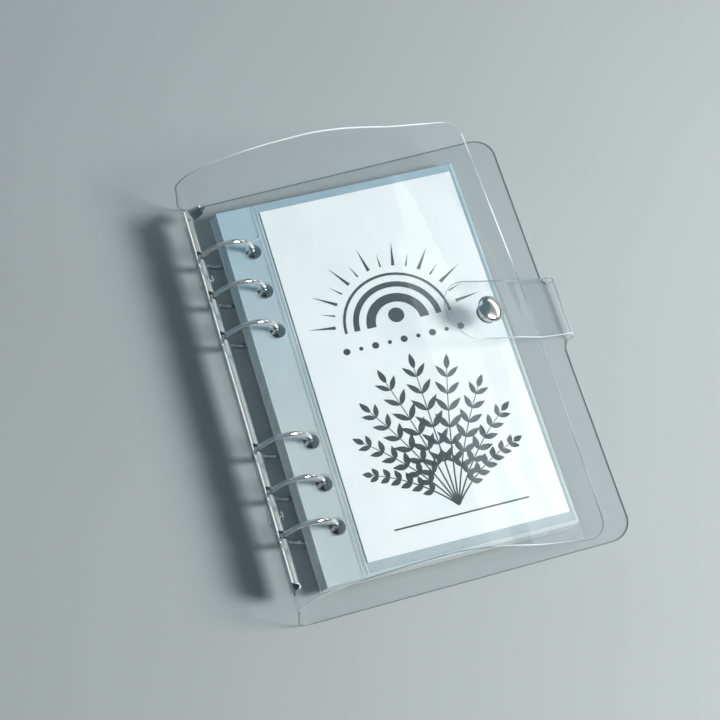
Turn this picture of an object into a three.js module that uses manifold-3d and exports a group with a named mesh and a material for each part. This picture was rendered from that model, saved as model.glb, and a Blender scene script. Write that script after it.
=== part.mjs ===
import * as THREE from "three";
import { mergeVertices } from "three/addons/utils/BufferGeometryUtils.js";
import Module from "manifold-3d";

// A clear six-ring wallet for cash envelopes. It lies on its back cover.
// While modelling, x runs from the spine's outer face to the opening side, y runs up the spine and z rises
// from the table. Every piece is then moved so that the box's bottom centre is the origin.

// Cover sheet
const COVER_HEIGHT = 192;
const COVER_WIDTH = 141;
const SHEET = 0.6;
const CORNER_RADIUS = 9;
const CLEARANCE = 0.3;
const FINE_GAP = 0.1;
const CUT_BEYOND = 1;

// Front cover, arched over the rings, with its right edge held down by the strap
const CREST_HEIGHT = { top: 41.5, middle: 41.5, bottom: 43.2 };
const EDGE_HEIGHT = { top: 22.5, middle: 10, bottom: 8 };
const EDGE_SHORT = { top: 16.5, middle: 11.5, bottom: 12 };
const CREST_PLACE = 0.46;

// Strap and snap
const STRAP_WIDTH = 27;
const STRAP_MIDDLE = 7;
const STRAP_REACH = 50;
const STRAP_FLARE = 3;
const STRAP_SEAT_MARGIN = 2;
const WRAP_RADIUS = 3.8;
const SNAP_FROM_EDGE = 31.5;
const SNAP_RADIUS = 6;
const SNAP_DOME = 2.5;
const SNAP_RIM = 0.8;
const SNAP_RIM_INSET = 0.6;
const SNAP_POST = 1.4;
const SOCKET_RADIUS = 4.6;
const SOCKET_HEIGHT = 1.9;
const SOCKET_FLOOR = 0.7;
const STUD_RADIUS = 2.2;
const STUD_BASE_RADIUS = 4.2;
const STUD_BASE = 0.5;
const STUD_TAPER = 0.4;
const EYELET_RADIUS = 4.4;

// Ring metal
const PLATE_LENGTH = 168;
const PLATE_WIDTH = 14.4;
const PLATE_DEPTH = 4.1;
const PLATE_WALL = 0.7;
const BLADE = 0.7;
const BLADE_REACH = 5;
const BLADE_SEAM = 0.3;
const BLADE_SHORT = 6.5;
const BLADE_TIP = 2;
const RING_RADIUS = 10.6;
const WIRE_RADIUS = 1.1;
const RING_FLOOR_GAP = 2.3;
const RING_OFFSET = 9.5;
const RING_ARC_END = THREE.MathUtils.degToRad(140);
const RING_FOOT = 4.1;
const RING_PITCH = 19;
const RING_OUTERMOST = 63.5;
const RING_PLACES = [0, 1, 2].map((k) => RING_OUTERMOST - k * RING_PITCH);
const NOTCH_INNER = 2.7;
const NOTCH_OUTER = 6.5;

// Rivets that hold the ring metal to the spine
const RIVET_SHANK = 1.3;
const RIVET_HEAD = 2.3;
const RIVET_BACK = 3.6;
const RIVET_HEAD_HEIGHT = 0.8;
const RIVET_BACK_BEVEL = 0.5;
const RIVET_HEAD_BEVEL = 0.6;

// Opening lever at the top end of the ring metal
const LEVER_THICKNESS = 1.1;
const LEVER_WIDTH = 9;
const LEVER_HEIGHT = 8.5;
const LEVER_SHOULDER = 1.4;
const LEVER_SHOULDER_INSET = 1;
const LEVER_LEAN = THREE.MathUtils.degToRad(22);
const LEVER_HUB = 1.2;
const LEVER_NECK = 4;
const PIN_RADIUS = 0.5;
const PIN_INSET = 3.5;

// Envelopes and their cards
const ENVELOPE_COUNT = 6;
const ENVELOPE_HEIGHT = 171.5;
const ENVELOPE_WIDTH = 105.5;
const ENVELOPE_THICKNESS = 0.9;
const ENVELOPE_GAP = 0.1;
const ENVELOPE_SHIFT = -0.8;
const FILM = 0.25;
const POCKET_FROM_BINDING = 17;
const POCKET_WELD = 1.6;
const HOLE_RADIUS = 3.5;
const HOLE_SLACK = 1.1;
const HOLE_FROM_BINDING = 10.6;
const STACK_LIFT = 6.2;
const CARD_THICKNESS = 0.24;
const CARD_WIDTH = 85;
const CARD_HEIGHT = 162;
const CARD_FROM_WELD = 0.8;
const CARD_FROM_BOTTOM = 5.55;

// Finishes
const FINISHES = {
  clearSheet: { color: 0xdfe9ec, roughness: 0.12, metalness: 0 },
  chrome: { color: 0xd2d4d2, roughness: 0.12, metalness: 1 },
  steel: { color: 0xaeb2b2, roughness: 0.3, metalness: 1 },
  envelopeFilm: { color: 0xcfe0ea, roughness: 0.2, metalness: 0 },
  card: { color: 0xf6f8f7, roughness: 0.85, metalness: 0 },
};

// Places that follow from the sizes
const RING_MIDDLE = SHEET + RING_FLOOR_GAP + RING_RADIUS + WIRE_RADIUS;
const RING_CENTRE = SHEET + PLATE_DEPTH + RING_OFFSET;
const SPINE_TOP = RING_MIDDLE + PLATE_WIDTH / 2 + 2 * CLEARANCE;
const SPINE_BEND = RING_MIDDLE - PLATE_WIDTH / 2 - CLEARANCE;
const WRAP_CENTRE = SHEET / 2 + WRAP_RADIUS;
const SNAP_STACK = STUD_BASE + CLEARANCE + SOCKET_HEIGHT;
const STRAP_LIFT = SNAP_STACK + SHEET;
const BLADE_BACK = SHEET + CLEARANCE + FINE_GAP;
const BLADE_FRONT = BLADE_BACK + BLADE;
const RIVET_PLACE = (RING_PLACES[0] + RING_PLACES[1]) / 2;
const BOX_LEFT = -RIVET_HEAD_HEIGHT;
const BOX_RIGHT = COVER_WIDTH + WRAP_RADIUS + SHEET / 2;
const ORIGIN_X = (BOX_LEFT + BOX_RIGHT) / 2;

const wasm = await Module();
wasm.setup();

const group = new THREE.Group();
group.name = "cash_envelope_wallet";

function addPart(name, geometry, finish) {
  const placed = geometry.clone();
  placed.translate(-ORIGIN_X, 0, 0);
  const mesh = new THREE.Mesh(placed, new THREE.MeshStandardMaterial(FINISHES[finish]));
  mesh.name = name;
  group.add(mesh);
}

// Solid helpers

function toManifold(geometry) {
  const bare = geometry.clone();
  bare.deleteAttribute("normal");
  bare.deleteAttribute("uv");
  const merged = mergeVertices(bare, 1e-5);
  return new wasm.Manifold(new wasm.Mesh({
    numProp: 3,
    vertProperties: new Float32Array(merged.attributes.position.array),
    triVerts: new Uint32Array(merged.index.array),
  }));
}

function fromManifold(manifold) {
  const mesh = manifold.getMesh();
  return indexedGeometry(mesh.vertProperties, mesh.triVerts);
}

function indexedGeometry(positions, indices) {
  const geometry = new THREE.BufferGeometry();
  geometry.setAttribute("position", new THREE.BufferAttribute(new Float32Array(positions), 3));
  geometry.setIndex(new THREE.BufferAttribute(new Uint32Array(indices), 1));
  return geometry;
}

function cut(geometry, tools) {
  let body = toManifold(geometry);
  for (const tool of tools) {
    body = body.subtract(toManifold(tool));
  }
  return fromManifold(body);
}

function join(geometries) {
  let body = toManifold(geometries[0]);
  for (const piece of geometries.slice(1)) {
    body = body.add(toManifold(piece));
  }
  return fromManifold(body);
}

// A sheet of even thickness around a grid of points on its middle surface.
// Its outer side is where (along i) x (along j) points.
function sheetFromGrid(grid, thickness) {
  const rows = grid.length;
  const columns = grid[0].length;
  const positions = [];
  for (const side of [thickness / 2, -thickness / 2]) {
    for (let i = 0; i < rows; i++) {
      for (let j = 0; j < columns; j++) {
        const along = grid[Math.min(i + 1, rows - 1)][j].clone().sub(grid[Math.max(i - 1, 0)][j]);
        const across = grid[i][Math.min(j + 1, columns - 1)].clone().sub(grid[i][Math.max(j - 1, 0)]);
        const normal = along.cross(across).normalize();
        const point = grid[i][j].clone().addScaledVector(normal, side);
        positions.push(point.x, point.y, point.z);
      }
    }
  }
  const upper = (i, j) => i * columns + j;
  const lower = (i, j) => rows * columns + i * columns + j;
  const indices = [];
  for (let i = 0; i < rows - 1; i++) {
    for (let j = 0; j < columns - 1; j++) {
      indices.push(upper(i, j), upper(i + 1, j), upper(i + 1, j + 1));
      indices.push(upper(i, j), upper(i + 1, j + 1), upper(i, j + 1));
      indices.push(lower(i, j), lower(i + 1, j + 1), lower(i + 1, j));
      indices.push(lower(i, j), lower(i, j + 1), lower(i + 1, j + 1));
    }
  }
  const rim = [];
  for (let i = 0; i < rows - 1; i++) rim.push([i, 0]);
  for (let j = 0; j < columns - 1; j++) rim.push([rows - 1, j]);
  for (let i = rows - 1; i > 0; i--) rim.push([i, columns - 1]);
  for (let j = columns - 1; j > 0; j--) rim.push([0, j]);
  rim.forEach(([i, j], k) => {
    const [m, n] = rim[(k + 1) % rim.length];
    indices.push(upper(m, n), upper(i, j), lower(i, j));
    indices.push(upper(m, n), lower(i, j), lower(m, n));
  });
  return indexedGeometry(positions, indices);
}

// A turned piece around +Z. Its profile is a list of [radius, height]: from pole to pole, or a closed loop.
function turned(profile, sides, closed = false) {
  const positions = [];
  const rings = profile.map(([radius, height]) => {
    const first = positions.length / 3;
    const count = radius === 0 ? 1 : sides;
    for (let s = 0; s < count; s++) {
      const angle = (2 * Math.PI * s) / sides;
      positions.push(radius * Math.cos(angle), radius * Math.sin(angle), height);
    }
    return (s) => first + (count === 1 ? 0 : s % sides);
  });
  const indices = [];
  const last = closed ? rings.length : rings.length - 1;
  for (let k = 0; k < last; k++) {
    const low = rings[k];
    const high = rings[(k + 1) % rings.length];
    for (let s = 0; s < sides; s++) {
      if (low(s) !== low(s + 1)) indices.push(low(s), low(s + 1), high(s + 1));
      if (high(s) !== high(s + 1)) indices.push(low(s), high(s + 1), high(s));
    }
  }
  return indexedGeometry(positions, indices);
}

function rod(radius, length, sides = 16) {
  return turned([[0, 0], [radius, 0], [radius, length], [0, length]], sides);
}

function place(geometry, origin, axis) {
  const turn = new THREE.Quaternion().setFromUnitVectors(new THREE.Vector3(0, 0, 1), axis);
  geometry.applyQuaternion(turn);
  geometry.translate(origin.x, origin.y, origin.z);
  return geometry;
}

function boxBetween(low, high) {
  const size = high.map((value, k) => value - low[k]);
  const geometry = new THREE.BoxGeometry(...size);
  geometry.translate(...high.map((value, k) => (value + low[k]) / 2));
  return geometry;
}

// A round wire along points in a plane of constant y, with flat ends.
function wireAlong(points, y, radius, sides) {
  const positions = [];
  points.forEach((point, k) => {
    const before = points[Math.max(k - 1, 0)];
    const after = points[Math.min(k + 1, points.length - 1)];
    const tangent = after.clone().sub(before).normalize();
    for (let s = 0; s < sides; s++) {
      const angle = (2 * Math.PI * s) / sides;
      const out = radius * Math.cos(angle);
      positions.push(point.x - out * tangent.y, y - radius * Math.sin(angle), point.y + out * tangent.x);
    }
  });
  const indices = [];
  const last = points.length - 1;
  for (let k = 0; k < last; k++) {
    for (let s = 0; s < sides; s++) {
      const [a, b] = [k * sides + s, k * sides + ((s + 1) % sides)];
      indices.push(a, b, b + sides, a, b + sides, a + sides);
    }
  }
  for (let s = 1; s < sides - 1; s++) {
    indices.push(0, s + 1, s);
    indices.push(last * sides, last * sides + s, last * sides + s + 1);
  }
  return indexedGeometry(positions, indices);
}

// How much a rounded corner takes off a sheet's half height, at a distance from its right edge.
function cornerCut(fromEdge, radius) {
  const inside = Math.max(radius - fromEdge, 0);
  return radius - Math.sqrt(radius * radius - inside * inside);
}

const CORNER_STEPS = [1, 0.62, 0.3, 0.09, 0];

// Back cover and spine

function backProfile() {
  const middle = SHEET / 2;
  const points = [new THREE.Vector2(middle, SPINE_TOP), new THREE.Vector2(middle, SPINE_BEND)];
  const steps = 6;
  for (let k = 1; k <= steps; k++) {
    const angle = (Math.PI / 2) * (k / steps);
    const radius = SPINE_BEND - middle;
    points.push(new THREE.Vector2(SPINE_BEND - radius * Math.cos(angle), SPINE_BEND - radius * Math.sin(angle)));
  }
  for (const step of CORNER_STEPS) {
    points.push(new THREE.Vector2(COVER_WIDTH - step * CORNER_RADIUS, middle));
  }
  return points;
}

function backSheet() {
  const grid = backProfile().map((point) => {
    const half = COVER_HEIGHT / 2 - cornerCut(COVER_WIDTH - point.x, CORNER_RADIUS);
    return [-half, half].map((y) => new THREE.Vector3(point.x, y, point.y));
  });
  return sheetFromGrid(grid, SHEET);
}

// The tongue's root: it leaves the back cover's edge and turns up to where the strap hinges.
function strapRoot() {
  const steps = 5;
  const grid = [];
  grid.push({ x: COVER_WIDTH - SHEET, z: SHEET / 2, half: STRAP_WIDTH / 2 + STRAP_FLARE });
  for (let k = 0; k <= steps; k++) {
    const angle = (Math.PI / 2) * (k / steps);
    grid.push({
      x: COVER_WIDTH + WRAP_RADIUS * Math.sin(angle),
      z: WRAP_CENTRE - WRAP_RADIUS * Math.cos(angle),
      half: STRAP_WIDTH / 2 + STRAP_FLARE * (1 - Math.min(1, 2 * (k / steps))) ** 2,
    });
  }
  return sheetFromGrid(grid.map(({ x, z, half }) => [
    new THREE.Vector3(x, STRAP_MIDDLE - half, z),
    new THREE.Vector3(x, STRAP_MIDDLE + half, z),
  ]), SHEET);
}

function rivetHole(y) {
  const length = PLATE_DEPTH + 3 * SHEET;
  const start = new THREE.Vector3(-SHEET, y, RING_MIDDLE);
  return place(rod(RIVET_SHANK + CLEARANCE, length), start, new THREE.Vector3(1, 0, 0));
}

const backCover = cut(join([backSheet(), strapRoot()]), [rivetHole(RIVET_PLACE), rivetHole(-RIVET_PLACE)]);
addPart("back_cover", backCover, "clearSheet");

// Front cover

// The rise from the spine to the crest, and the fall from the crest to the right edge, as shares.
const RISE = [[0, 0], [0.022, 0.28], [0.058, 0.49], [0.11, 0.665], [0.17, 0.78], [0.25, 0.895], [0.34, 0.97]];
const FALL = [[CREST_PLACE, 0], [0.56, 0.1], [0.66, 0.31], [0.76, 0.57], [0.93, 0.9]];
const FRONT_START = { x: SHEET / 2, z: SPINE_TOP + CLEARANCE };

function sectionBetween(name, other, share) {
  const mix = (table) => THREE.MathUtils.lerp(table[name], table[other], share);
  return { crest: mix(CREST_HEIGHT), edge: mix(EDGE_HEIGHT), reach: COVER_WIDTH - mix(EDGE_SHORT) };
}

// The section's sizes at a height on the cover. It is even across the strap, where the snap needs a flat seat.
function sectionAt(y) {
  const half = STRAP_WIDTH / 2 + STRAP_SEAT_MARGIN;
  const away = Math.max(Math.abs(y - STRAP_MIDDLE) - half, 0);
  const side = y > STRAP_MIDDLE ? "top" : "bottom";
  const end = side === "top" ? COVER_HEIGHT / 2 - STRAP_MIDDLE : COVER_HEIGHT / 2 + STRAP_MIDDLE;
  return sectionBetween("middle", side, away / (end - half));
}

function frontPoint(section, station) {
  const x = FRONT_START.x + station.place * (section.reach - FRONT_START.x);
  const low = station.rise === undefined ? section.edge : FRONT_START.z;
  const share = station.rise ?? 1 - station.fall;
  return { x, z: low + share * (section.crest - low) };
}

function frontStations() {
  const middle = sectionAt(STRAP_MIDDLE);
  const lastPlace = FALL[FALL.length - 1];
  const stations = RISE.map(([placeAlong, rise]) => ({ place: placeAlong, rise, inset: 0 }));
  for (const [placeAlong, fall] of FALL) {
    stations.push({ place: placeAlong, fall, inset: 0 });
  }
  for (const step of CORNER_STEPS.slice(1)) {
    const placeAlong = 1 - (step * CORNER_RADIUS) / middle.reach;
    const share = (placeAlong - lastPlace[0]) / (1 - lastPlace[0]);
    const fall = THREE.MathUtils.lerp(lastPlace[1], 1, share);
    stations.push({ place: placeAlong, fall, inset: cornerCut(step * CORNER_RADIUS, CORNER_RADIUS) });
  }
  return stations;
}

function frontSheet() {
  const half = COVER_HEIGHT / 2;
  const bandLow = STRAP_MIDDLE - STRAP_WIDTH / 2 - STRAP_SEAT_MARGIN;
  const bandHigh = STRAP_MIDDLE + STRAP_WIDTH / 2 + STRAP_SEAT_MARGIN;
  const heights = [-half, (-half + bandLow) / 2, bandLow, bandHigh, (bandHigh + half) / 2, half];
  const grid = frontStations().map((station) => heights.map((height) => {
    const y = Math.abs(height) === half ? Math.sign(height) * (half - station.inset) : height;
    const point = frontPoint(sectionAt(height), station);
    return new THREE.Vector3(point.x, y, point.z);
  }));
  return sheetFromGrid(grid, SHEET);
}

// The flat stretch of the front cover that carries the snap.
const strapSection = sectionAt(STRAP_MIDDLE);
const flatLeft = frontPoint(strapSection, { place: FALL[3][0], fall: FALL[3][1] });
const flatRight = frontPoint(strapSection, { place: FALL[4][0], fall: FALL[4][1] });
const frontEdge = frontPoint(strapSection, { place: 1, fall: 1 });
const flatSlope = Math.atan2(flatLeft.z - flatRight.z, flatRight.x - flatLeft.x);
const snapAxis = new THREE.Vector3(Math.sin(flatSlope), 0, Math.cos(flatSlope));

function onFlat(x, lift) {
  const z = flatRight.z + (flatRight.x - x) * Math.tan(flatSlope);
  return new THREE.Vector3(x, STRAP_MIDDLE, z).addScaledVector(snapAxis, lift);
}

const SNAP_X = COVER_WIDTH - SNAP_FROM_EDGE;
const snapOnCover = onFlat(SNAP_X, SHEET / 2);
const postHole = place(rod(SNAP_POST + CLEARANCE, 2 * STRAP_LIFT), onFlat(SNAP_X, -SHEET), snapAxis);
addPart("front_cover", cut(frontSheet(), [postHole]), "clearSheet");

// Closing strap

function strapSheet() {
  const half = STRAP_WIDTH / 2;
  const rows = [];
  const steps = 5;
  const hingeGap = CLEARANCE / WRAP_RADIUS;
  for (let k = 0; k <= steps; k++) {
    const angle = THREE.MathUtils.lerp(hingeGap, Math.PI * 0.56, k / steps);
    rows.push({
      x: COVER_WIDTH + WRAP_RADIUS * Math.cos(angle),
      z: WRAP_CENTRE + WRAP_RADIUS * Math.sin(angle),
      half,
    });
  }
  rows.push({ x: frontEdge.x + CLEARANCE, z: frontEdge.z + SHEET + 2 * CLEARANCE, half });
  const bendEnd = onFlat(flatRight.x, STRAP_LIFT);
  rows.push({ x: bendEnd.x, z: bendEnd.z, half });
  const roundSteps = 6;
  for (let k = 0; k <= roundSteps; k++) {
    const angle = (Math.PI / 2) * (k / roundSteps) * 0.96;
    const back = half * (1 - Math.sin(angle)) * Math.cos(flatSlope);
    const at = onFlat(COVER_WIDTH - STRAP_REACH + back, STRAP_LIFT);
    rows.push({ x: at.x, z: at.z, half: half * Math.cos(angle) });
  }
  const grid = rows.map(({ x, z, half: across }) => [
    new THREE.Vector3(x, STRAP_MIDDLE - across, z),
    new THREE.Vector3(x, STRAP_MIDDLE + across, z),
  ]);
  return sheetFromGrid(grid, SHEET);
}

addPart("closing_strap", cut(strapSheet(), [postHole]), "clearSheet");

// Snap: a domed cap and socket on the strap, a stud and eyelet on the front cover

const capSeat = snapOnCover.clone().addScaledVector(snapAxis, SNAP_STACK + SHEET);
const postBottom = -SHEET - SOCKET_FLOOR;
const capProfile = [[0, postBottom], [SNAP_POST, postBottom], [SNAP_POST, 0], [SNAP_RADIUS - SNAP_RIM_INSET, 0]];
const domeSteps = 5;
for (let k = 0; k <= domeSteps; k++) {
  const angle = (Math.PI / 2) * (k / domeSteps);
  const radius = k === domeSteps ? 0 : SNAP_RADIUS * Math.cos(angle);
  capProfile.push([radius, SNAP_RIM + (SNAP_DOME - SNAP_RIM) * Math.sin(angle)]);
}
addPart("snap_cap", place(turned(capProfile, 32), capSeat, snapAxis), "chrome");

const cavity = STUD_RADIUS + CLEARANCE + FINE_GAP;
const socketProfile = [
  [cavity, 0],
  [SOCKET_RADIUS, 0],
  [SOCKET_RADIUS, SOCKET_HEIGHT],
  [SNAP_POST + CLEARANCE, SOCKET_HEIGHT],
  [SNAP_POST + CLEARANCE, SOCKET_HEIGHT - SOCKET_FLOOR],
  [cavity, SOCKET_HEIGHT - SOCKET_FLOOR],
];
const socketSeat = snapOnCover.clone().addScaledVector(snapAxis, STUD_BASE + CLEARANCE);
addPart("snap_socket", place(turned(socketProfile, 24, true), socketSeat, snapAxis), "steel");

const studTop = STUD_BASE + SOCKET_HEIGHT - SOCKET_FLOOR;
const studProfile = [
  [0, 0],
  [STUD_BASE_RADIUS, 0],
  [STUD_BASE_RADIUS, STUD_BASE],
  [STUD_RADIUS - STUD_TAPER, STUD_BASE],
  [STUD_RADIUS, STUD_BASE + (studTop - STUD_BASE) / 2],
  [STUD_RADIUS - STUD_TAPER, studTop],
  [0, studTop],
];
addPart("snap_stud", place(turned(studProfile, 24), snapOnCover, snapAxis), "steel");

const eyeletProfile = [
  [0, -SHEET - STUD_BASE],
  [EYELET_RADIUS, -SHEET - STUD_BASE],
  [EYELET_RADIUS, -SHEET],
  [SNAP_POST, -SHEET],
  [SNAP_POST, 0],
  [0, 0],
];
addPart("snap_eyelet", place(turned(eyeletProfile, 24), snapOnCover, snapAxis), "steel");

// Ring metal: an arched cover plate with a notch for each half ring

const PLATE_RADIUS = ((PLATE_WIDTH / 2) ** 2 + PLATE_DEPTH ** 2) / (2 * PLATE_DEPTH);
const PLATE_CENTRE = SHEET + PLATE_DEPTH - PLATE_RADIUS;

// The x of the plate's inner face at a distance from its middle line.
function plateInside(fromMiddle) {
  return PLATE_CENTRE + Math.sqrt((PLATE_RADIUS - PLATE_WALL) ** 2 - fromMiddle ** 2);
}

function plateArc(radius, steps) {
  const end = Math.acos((SHEET - PLATE_CENTRE) / radius);
  return Array.from({ length: steps + 1 }, (_, k) => {
    const angle = THREE.MathUtils.lerp(-end, end, k / steps);
    return [PLATE_CENTRE + radius * Math.cos(angle), radius * Math.sin(angle)];
  });
}

function archedPlate() {
  const steps = 14;
  const outer = plateArc(PLATE_RADIUS, steps);
  const inner = plateArc(PLATE_RADIUS - PLATE_WALL, steps);
  const positions = [];
  const half = PLATE_LENGTH / 2;
  for (const y of [-half, half]) {
    for (const [x, z] of outer) positions.push(x, y, RING_MIDDLE + z);
    for (const [x, z] of inner) positions.push(x, y, RING_MIDDLE + z);
  }
  const count = outer.length;
  const at = (end, side, k) => end * 2 * count + side * count + k;
  const indices = [];
  const quad = (a, b, c, d) => indices.push(a, b, c, a, c, d);
  for (let k = 0; k < count - 1; k++) {
    quad(at(0, 0, k), at(1, 0, k), at(1, 0, k + 1), at(0, 0, k + 1));
    quad(at(0, 1, k + 1), at(1, 1, k + 1), at(1, 1, k), at(0, 1, k));
    quad(at(0, 0, k), at(0, 0, k + 1), at(0, 1, k + 1), at(0, 1, k));
    quad(at(1, 0, k + 1), at(1, 0, k), at(1, 1, k), at(1, 1, k + 1));
  }
  quad(at(0, 0, 0), at(0, 1, 0), at(1, 1, 0), at(1, 0, 0));
  quad(at(0, 1, count - 1), at(0, 0, count - 1), at(1, 0, count - 1), at(1, 1, count - 1));
  return indexedGeometry(positions, indices);
}

const RING_YS = [...RING_PLACES, ...RING_PLACES.map((y) => -y).reverse()];
const PIN_Y = PLATE_LENGTH / 2 - PIN_INSET;
const PIN_X = plateInside(LEVER_NECK / 2) - LEVER_HUB - CLEARANCE;
const PIN_LENGTH = 2 * Math.sqrt(PLATE_RADIUS ** 2 - (PIN_X - PLATE_CENTRE) ** 2) + CUT_BEYOND;

function pinAlongZ(radius, length) {
  return place(rod(radius, length), new THREE.Vector3(PIN_X, PIN_Y, RING_MIDDLE - length / 2),
    new THREE.Vector3(0, 0, 1));
}

const notchHalf = WIRE_RADIUS + 2 * CLEARANCE;
const plateCuts = [rivetHole(RIVET_PLACE), rivetHole(-RIVET_PLACE)];
plateCuts.push(pinAlongZ(PIN_RADIUS + CLEARANCE, PIN_LENGTH + 2 * CUT_BEYOND));
for (const y of RING_YS) {
  for (const side of [1, -1]) {
    const ends = [RING_MIDDLE + side * NOTCH_INNER, RING_MIDDLE + side * NOTCH_OUTER].sort((a, b) => a - b);
    plateCuts.push(boxBetween(
      [SHEET + CLEARANCE, y - notchHalf, ends[0]],
      [SHEET + PLATE_DEPTH + CUT_BEYOND, y + notchHalf, ends[1]],
    ));
  }
}
addPart("ring_plate", cut(archedPlate(), plateCuts), "chrome");

// Carrier blades under the plate, and the half rings that stand on them

function bladeBox(side) {
  const ends = [RING_MIDDLE + (side * BLADE_SEAM) / 2, RING_MIDDLE + side * BLADE_REACH];
  ends.sort((a, b) => a - b);
  const low = [BLADE_BACK, -PLATE_LENGTH / 2 - BLADE_TIP, ends[0]];
  const high = [BLADE_FRONT, PLATE_LENGTH / 2 - BLADE_SHORT, ends[1]];
  const reliefs = [RIVET_PLACE, -RIVET_PLACE].map((y) => place(
    rod(RIVET_SHANK + 3 * CLEARANCE, 3 * BLADE),
    new THREE.Vector3(BLADE_BACK - BLADE, y, RING_MIDDLE),
    new THREE.Vector3(1, 0, 0),
  ));
  return cut(boxBetween(low, high), reliefs);
}

// A half ring from its seam on the far side, round to its foot on the blade.
function halfRingPath(side) {
  const steps = 14;
  const seam = BLADE_SEAM / 2 / RING_RADIUS;
  const points = [];
  for (let k = 0; k <= steps; k++) {
    const angle = THREE.MathUtils.lerp(seam, RING_ARC_END, k / steps);
    points.push(new THREE.Vector2(
      RING_CENTRE + RING_RADIUS * Math.cos(angle),
      RING_MIDDLE + side * RING_RADIUS * Math.sin(angle),
    ));
  }
  points.push(new THREE.Vector2(BLADE_FRONT + WIRE_RADIUS, RING_MIDDLE + side * RING_FOOT));
  points.push(new THREE.Vector2(BLADE_FRONT, RING_MIDDLE + side * RING_FOOT));
  return points;
}

for (const [label, side] of [["upper", 1], ["lower", -1]]) {
  addPart(`${label}_blade`, bladeBox(side), "steel");
  RING_YS.forEach((y, k) => {
    addPart(`${label}_ring_${k + 1}`, wireAlong(halfRingPath(side), y, WIRE_RADIUS, 10), "chrome");
  });
}

// Rivets

const rivetProfile = [
  [0, -RIVET_HEAD_HEIGHT],
  [RIVET_BACK - RIVET_BACK_BEVEL, -RIVET_HEAD_HEIGHT],
  [RIVET_BACK, 0],
  [RIVET_SHANK, 0],
  [RIVET_SHANK, SHEET + PLATE_DEPTH + FINE_GAP],
  [RIVET_HEAD, SHEET + PLATE_DEPTH + FINE_GAP],
  [RIVET_HEAD - RIVET_HEAD_BEVEL, SHEET + PLATE_DEPTH + FINE_GAP + RIVET_HEAD_HEIGHT],
  [0, SHEET + PLATE_DEPTH + FINE_GAP + RIVET_HEAD_HEIGHT],
];
[RIVET_PLACE, -RIVET_PLACE].forEach((y, k) => {
  const start = new THREE.Vector3(0, y, RING_MIDDLE);
  addPart(`rivet_${k + 1}`, place(turned(rivetProfile, 20), start, new THREE.Vector3(1, 0, 0)), "chrome");
});

// Opening lever and its pin

function leverTab() {
  const outline = new THREE.Shape();
  const half = LEVER_WIDTH / 2;
  const round = half * 0.9;
  outline.moveTo(-half + LEVER_SHOULDER_INSET, 0);
  outline.lineTo(half - LEVER_SHOULDER_INSET, 0);
  outline.lineTo(half, LEVER_SHOULDER);
  outline.lineTo(half, LEVER_HEIGHT - round);
  outline.absellipse(0, LEVER_HEIGHT - round, half, round, 0, Math.PI, false);
  outline.lineTo(-half, LEVER_SHOULDER);
  outline.closePath();
  const tab = new THREE.ExtrudeGeometry(outline, { depth: LEVER_THICKNESS, bevelEnabled: false, curveSegments: 10 });
  // The outline's own x lies along z, and its y rises away from the plate, leaning out past its end.
  tab.applyMatrix4(new THREE.Matrix4().makeBasis(
    new THREE.Vector3(0, 0, 1),
    new THREE.Vector3(Math.cos(LEVER_LEAN), Math.sin(LEVER_LEAN), 0),
    new THREE.Vector3(-Math.sin(LEVER_LEAN), Math.cos(LEVER_LEAN), 0),
  ));
  tab.translate(PIN_X, PLATE_LENGTH / 2 + CLEARANCE, RING_MIDDLE);
  return tab;
}

const neck = boxBetween(
  [PIN_X - LEVER_THICKNESS / 2, PIN_Y, RING_MIDDLE - LEVER_NECK / 2],
  [PIN_X + LEVER_THICKNESS / 2, PLATE_LENGTH / 2 + CLEARANCE + LEVER_THICKNESS, RING_MIDDLE + LEVER_NECK / 2],
);
const lever = cut(join([pinAlongZ(LEVER_HUB, LEVER_NECK), neck, leverTab()]), [
  pinAlongZ(PIN_RADIUS + CLEARANCE, LEVER_NECK + 2 * CUT_BEYOND),
]);
addPart("opening_lever", lever, "chrome");
addPart("lever_pin", pinAlongZ(PIN_RADIUS, PIN_LENGTH), "steel");

// Envelopes, tilted from the rings down to the back cover, each with a card in its pocket

const STACK_RIGHT = RING_CENTRE + RING_RADIUS + ENVELOPE_WIDTH - HOLE_FROM_BINDING;
const STACK_TILT = Math.atan2(STACK_LIFT - SHEET - CLEARANCE, STACK_RIGHT - RING_CENTRE - RING_RADIUS / 2);

// Moves a piece modelled flat, with its holes' line at x = 0, to its tilted place in the stack.
function intoStack(geometry, layer) {
  const low = STACK_LIFT + layer * (ENVELOPE_THICKNESS + ENVELOPE_GAP);
  const drop = RING_MIDDLE - low - ENVELOPE_THICKNESS / 2;
  const wireX = RING_CENTRE + Math.sqrt(RING_RADIUS ** 2 - drop ** 2);
  geometry.rotateY(STACK_TILT);
  geometry.translate(wireX + HOLE_SLACK, ENVELOPE_SHIFT, low);
  return geometry;
}

const pocketLeft = POCKET_FROM_BINDING - HOLE_FROM_BINDING;
const envelopeRight = ENVELOPE_WIDTH - HOLE_FROM_BINDING;

function envelope() {
  const half = ENVELOPE_HEIGHT / 2;
  const block = boxBetween([-HOLE_FROM_BINDING, -half, 0], [envelopeRight, half, ENVELOPE_THICKNESS]);
  const pocket = boxBetween(
    [pocketLeft, -half + POCKET_WELD, FILM],
    [envelopeRight - POCKET_WELD, half + CUT_BEYOND, ENVELOPE_THICKNESS - FILM],
  );
  const holes = RING_YS.map((y) => place(
    rod(HOLE_RADIUS, 3 * ENVELOPE_THICKNESS, 20),
    new THREE.Vector3(0, y - ENVELOPE_SHIFT, -ENVELOPE_THICKNESS),
    new THREE.Vector3(0, 0, 1),
  ));
  return cut(block, [pocket, ...holes]);
}

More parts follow.
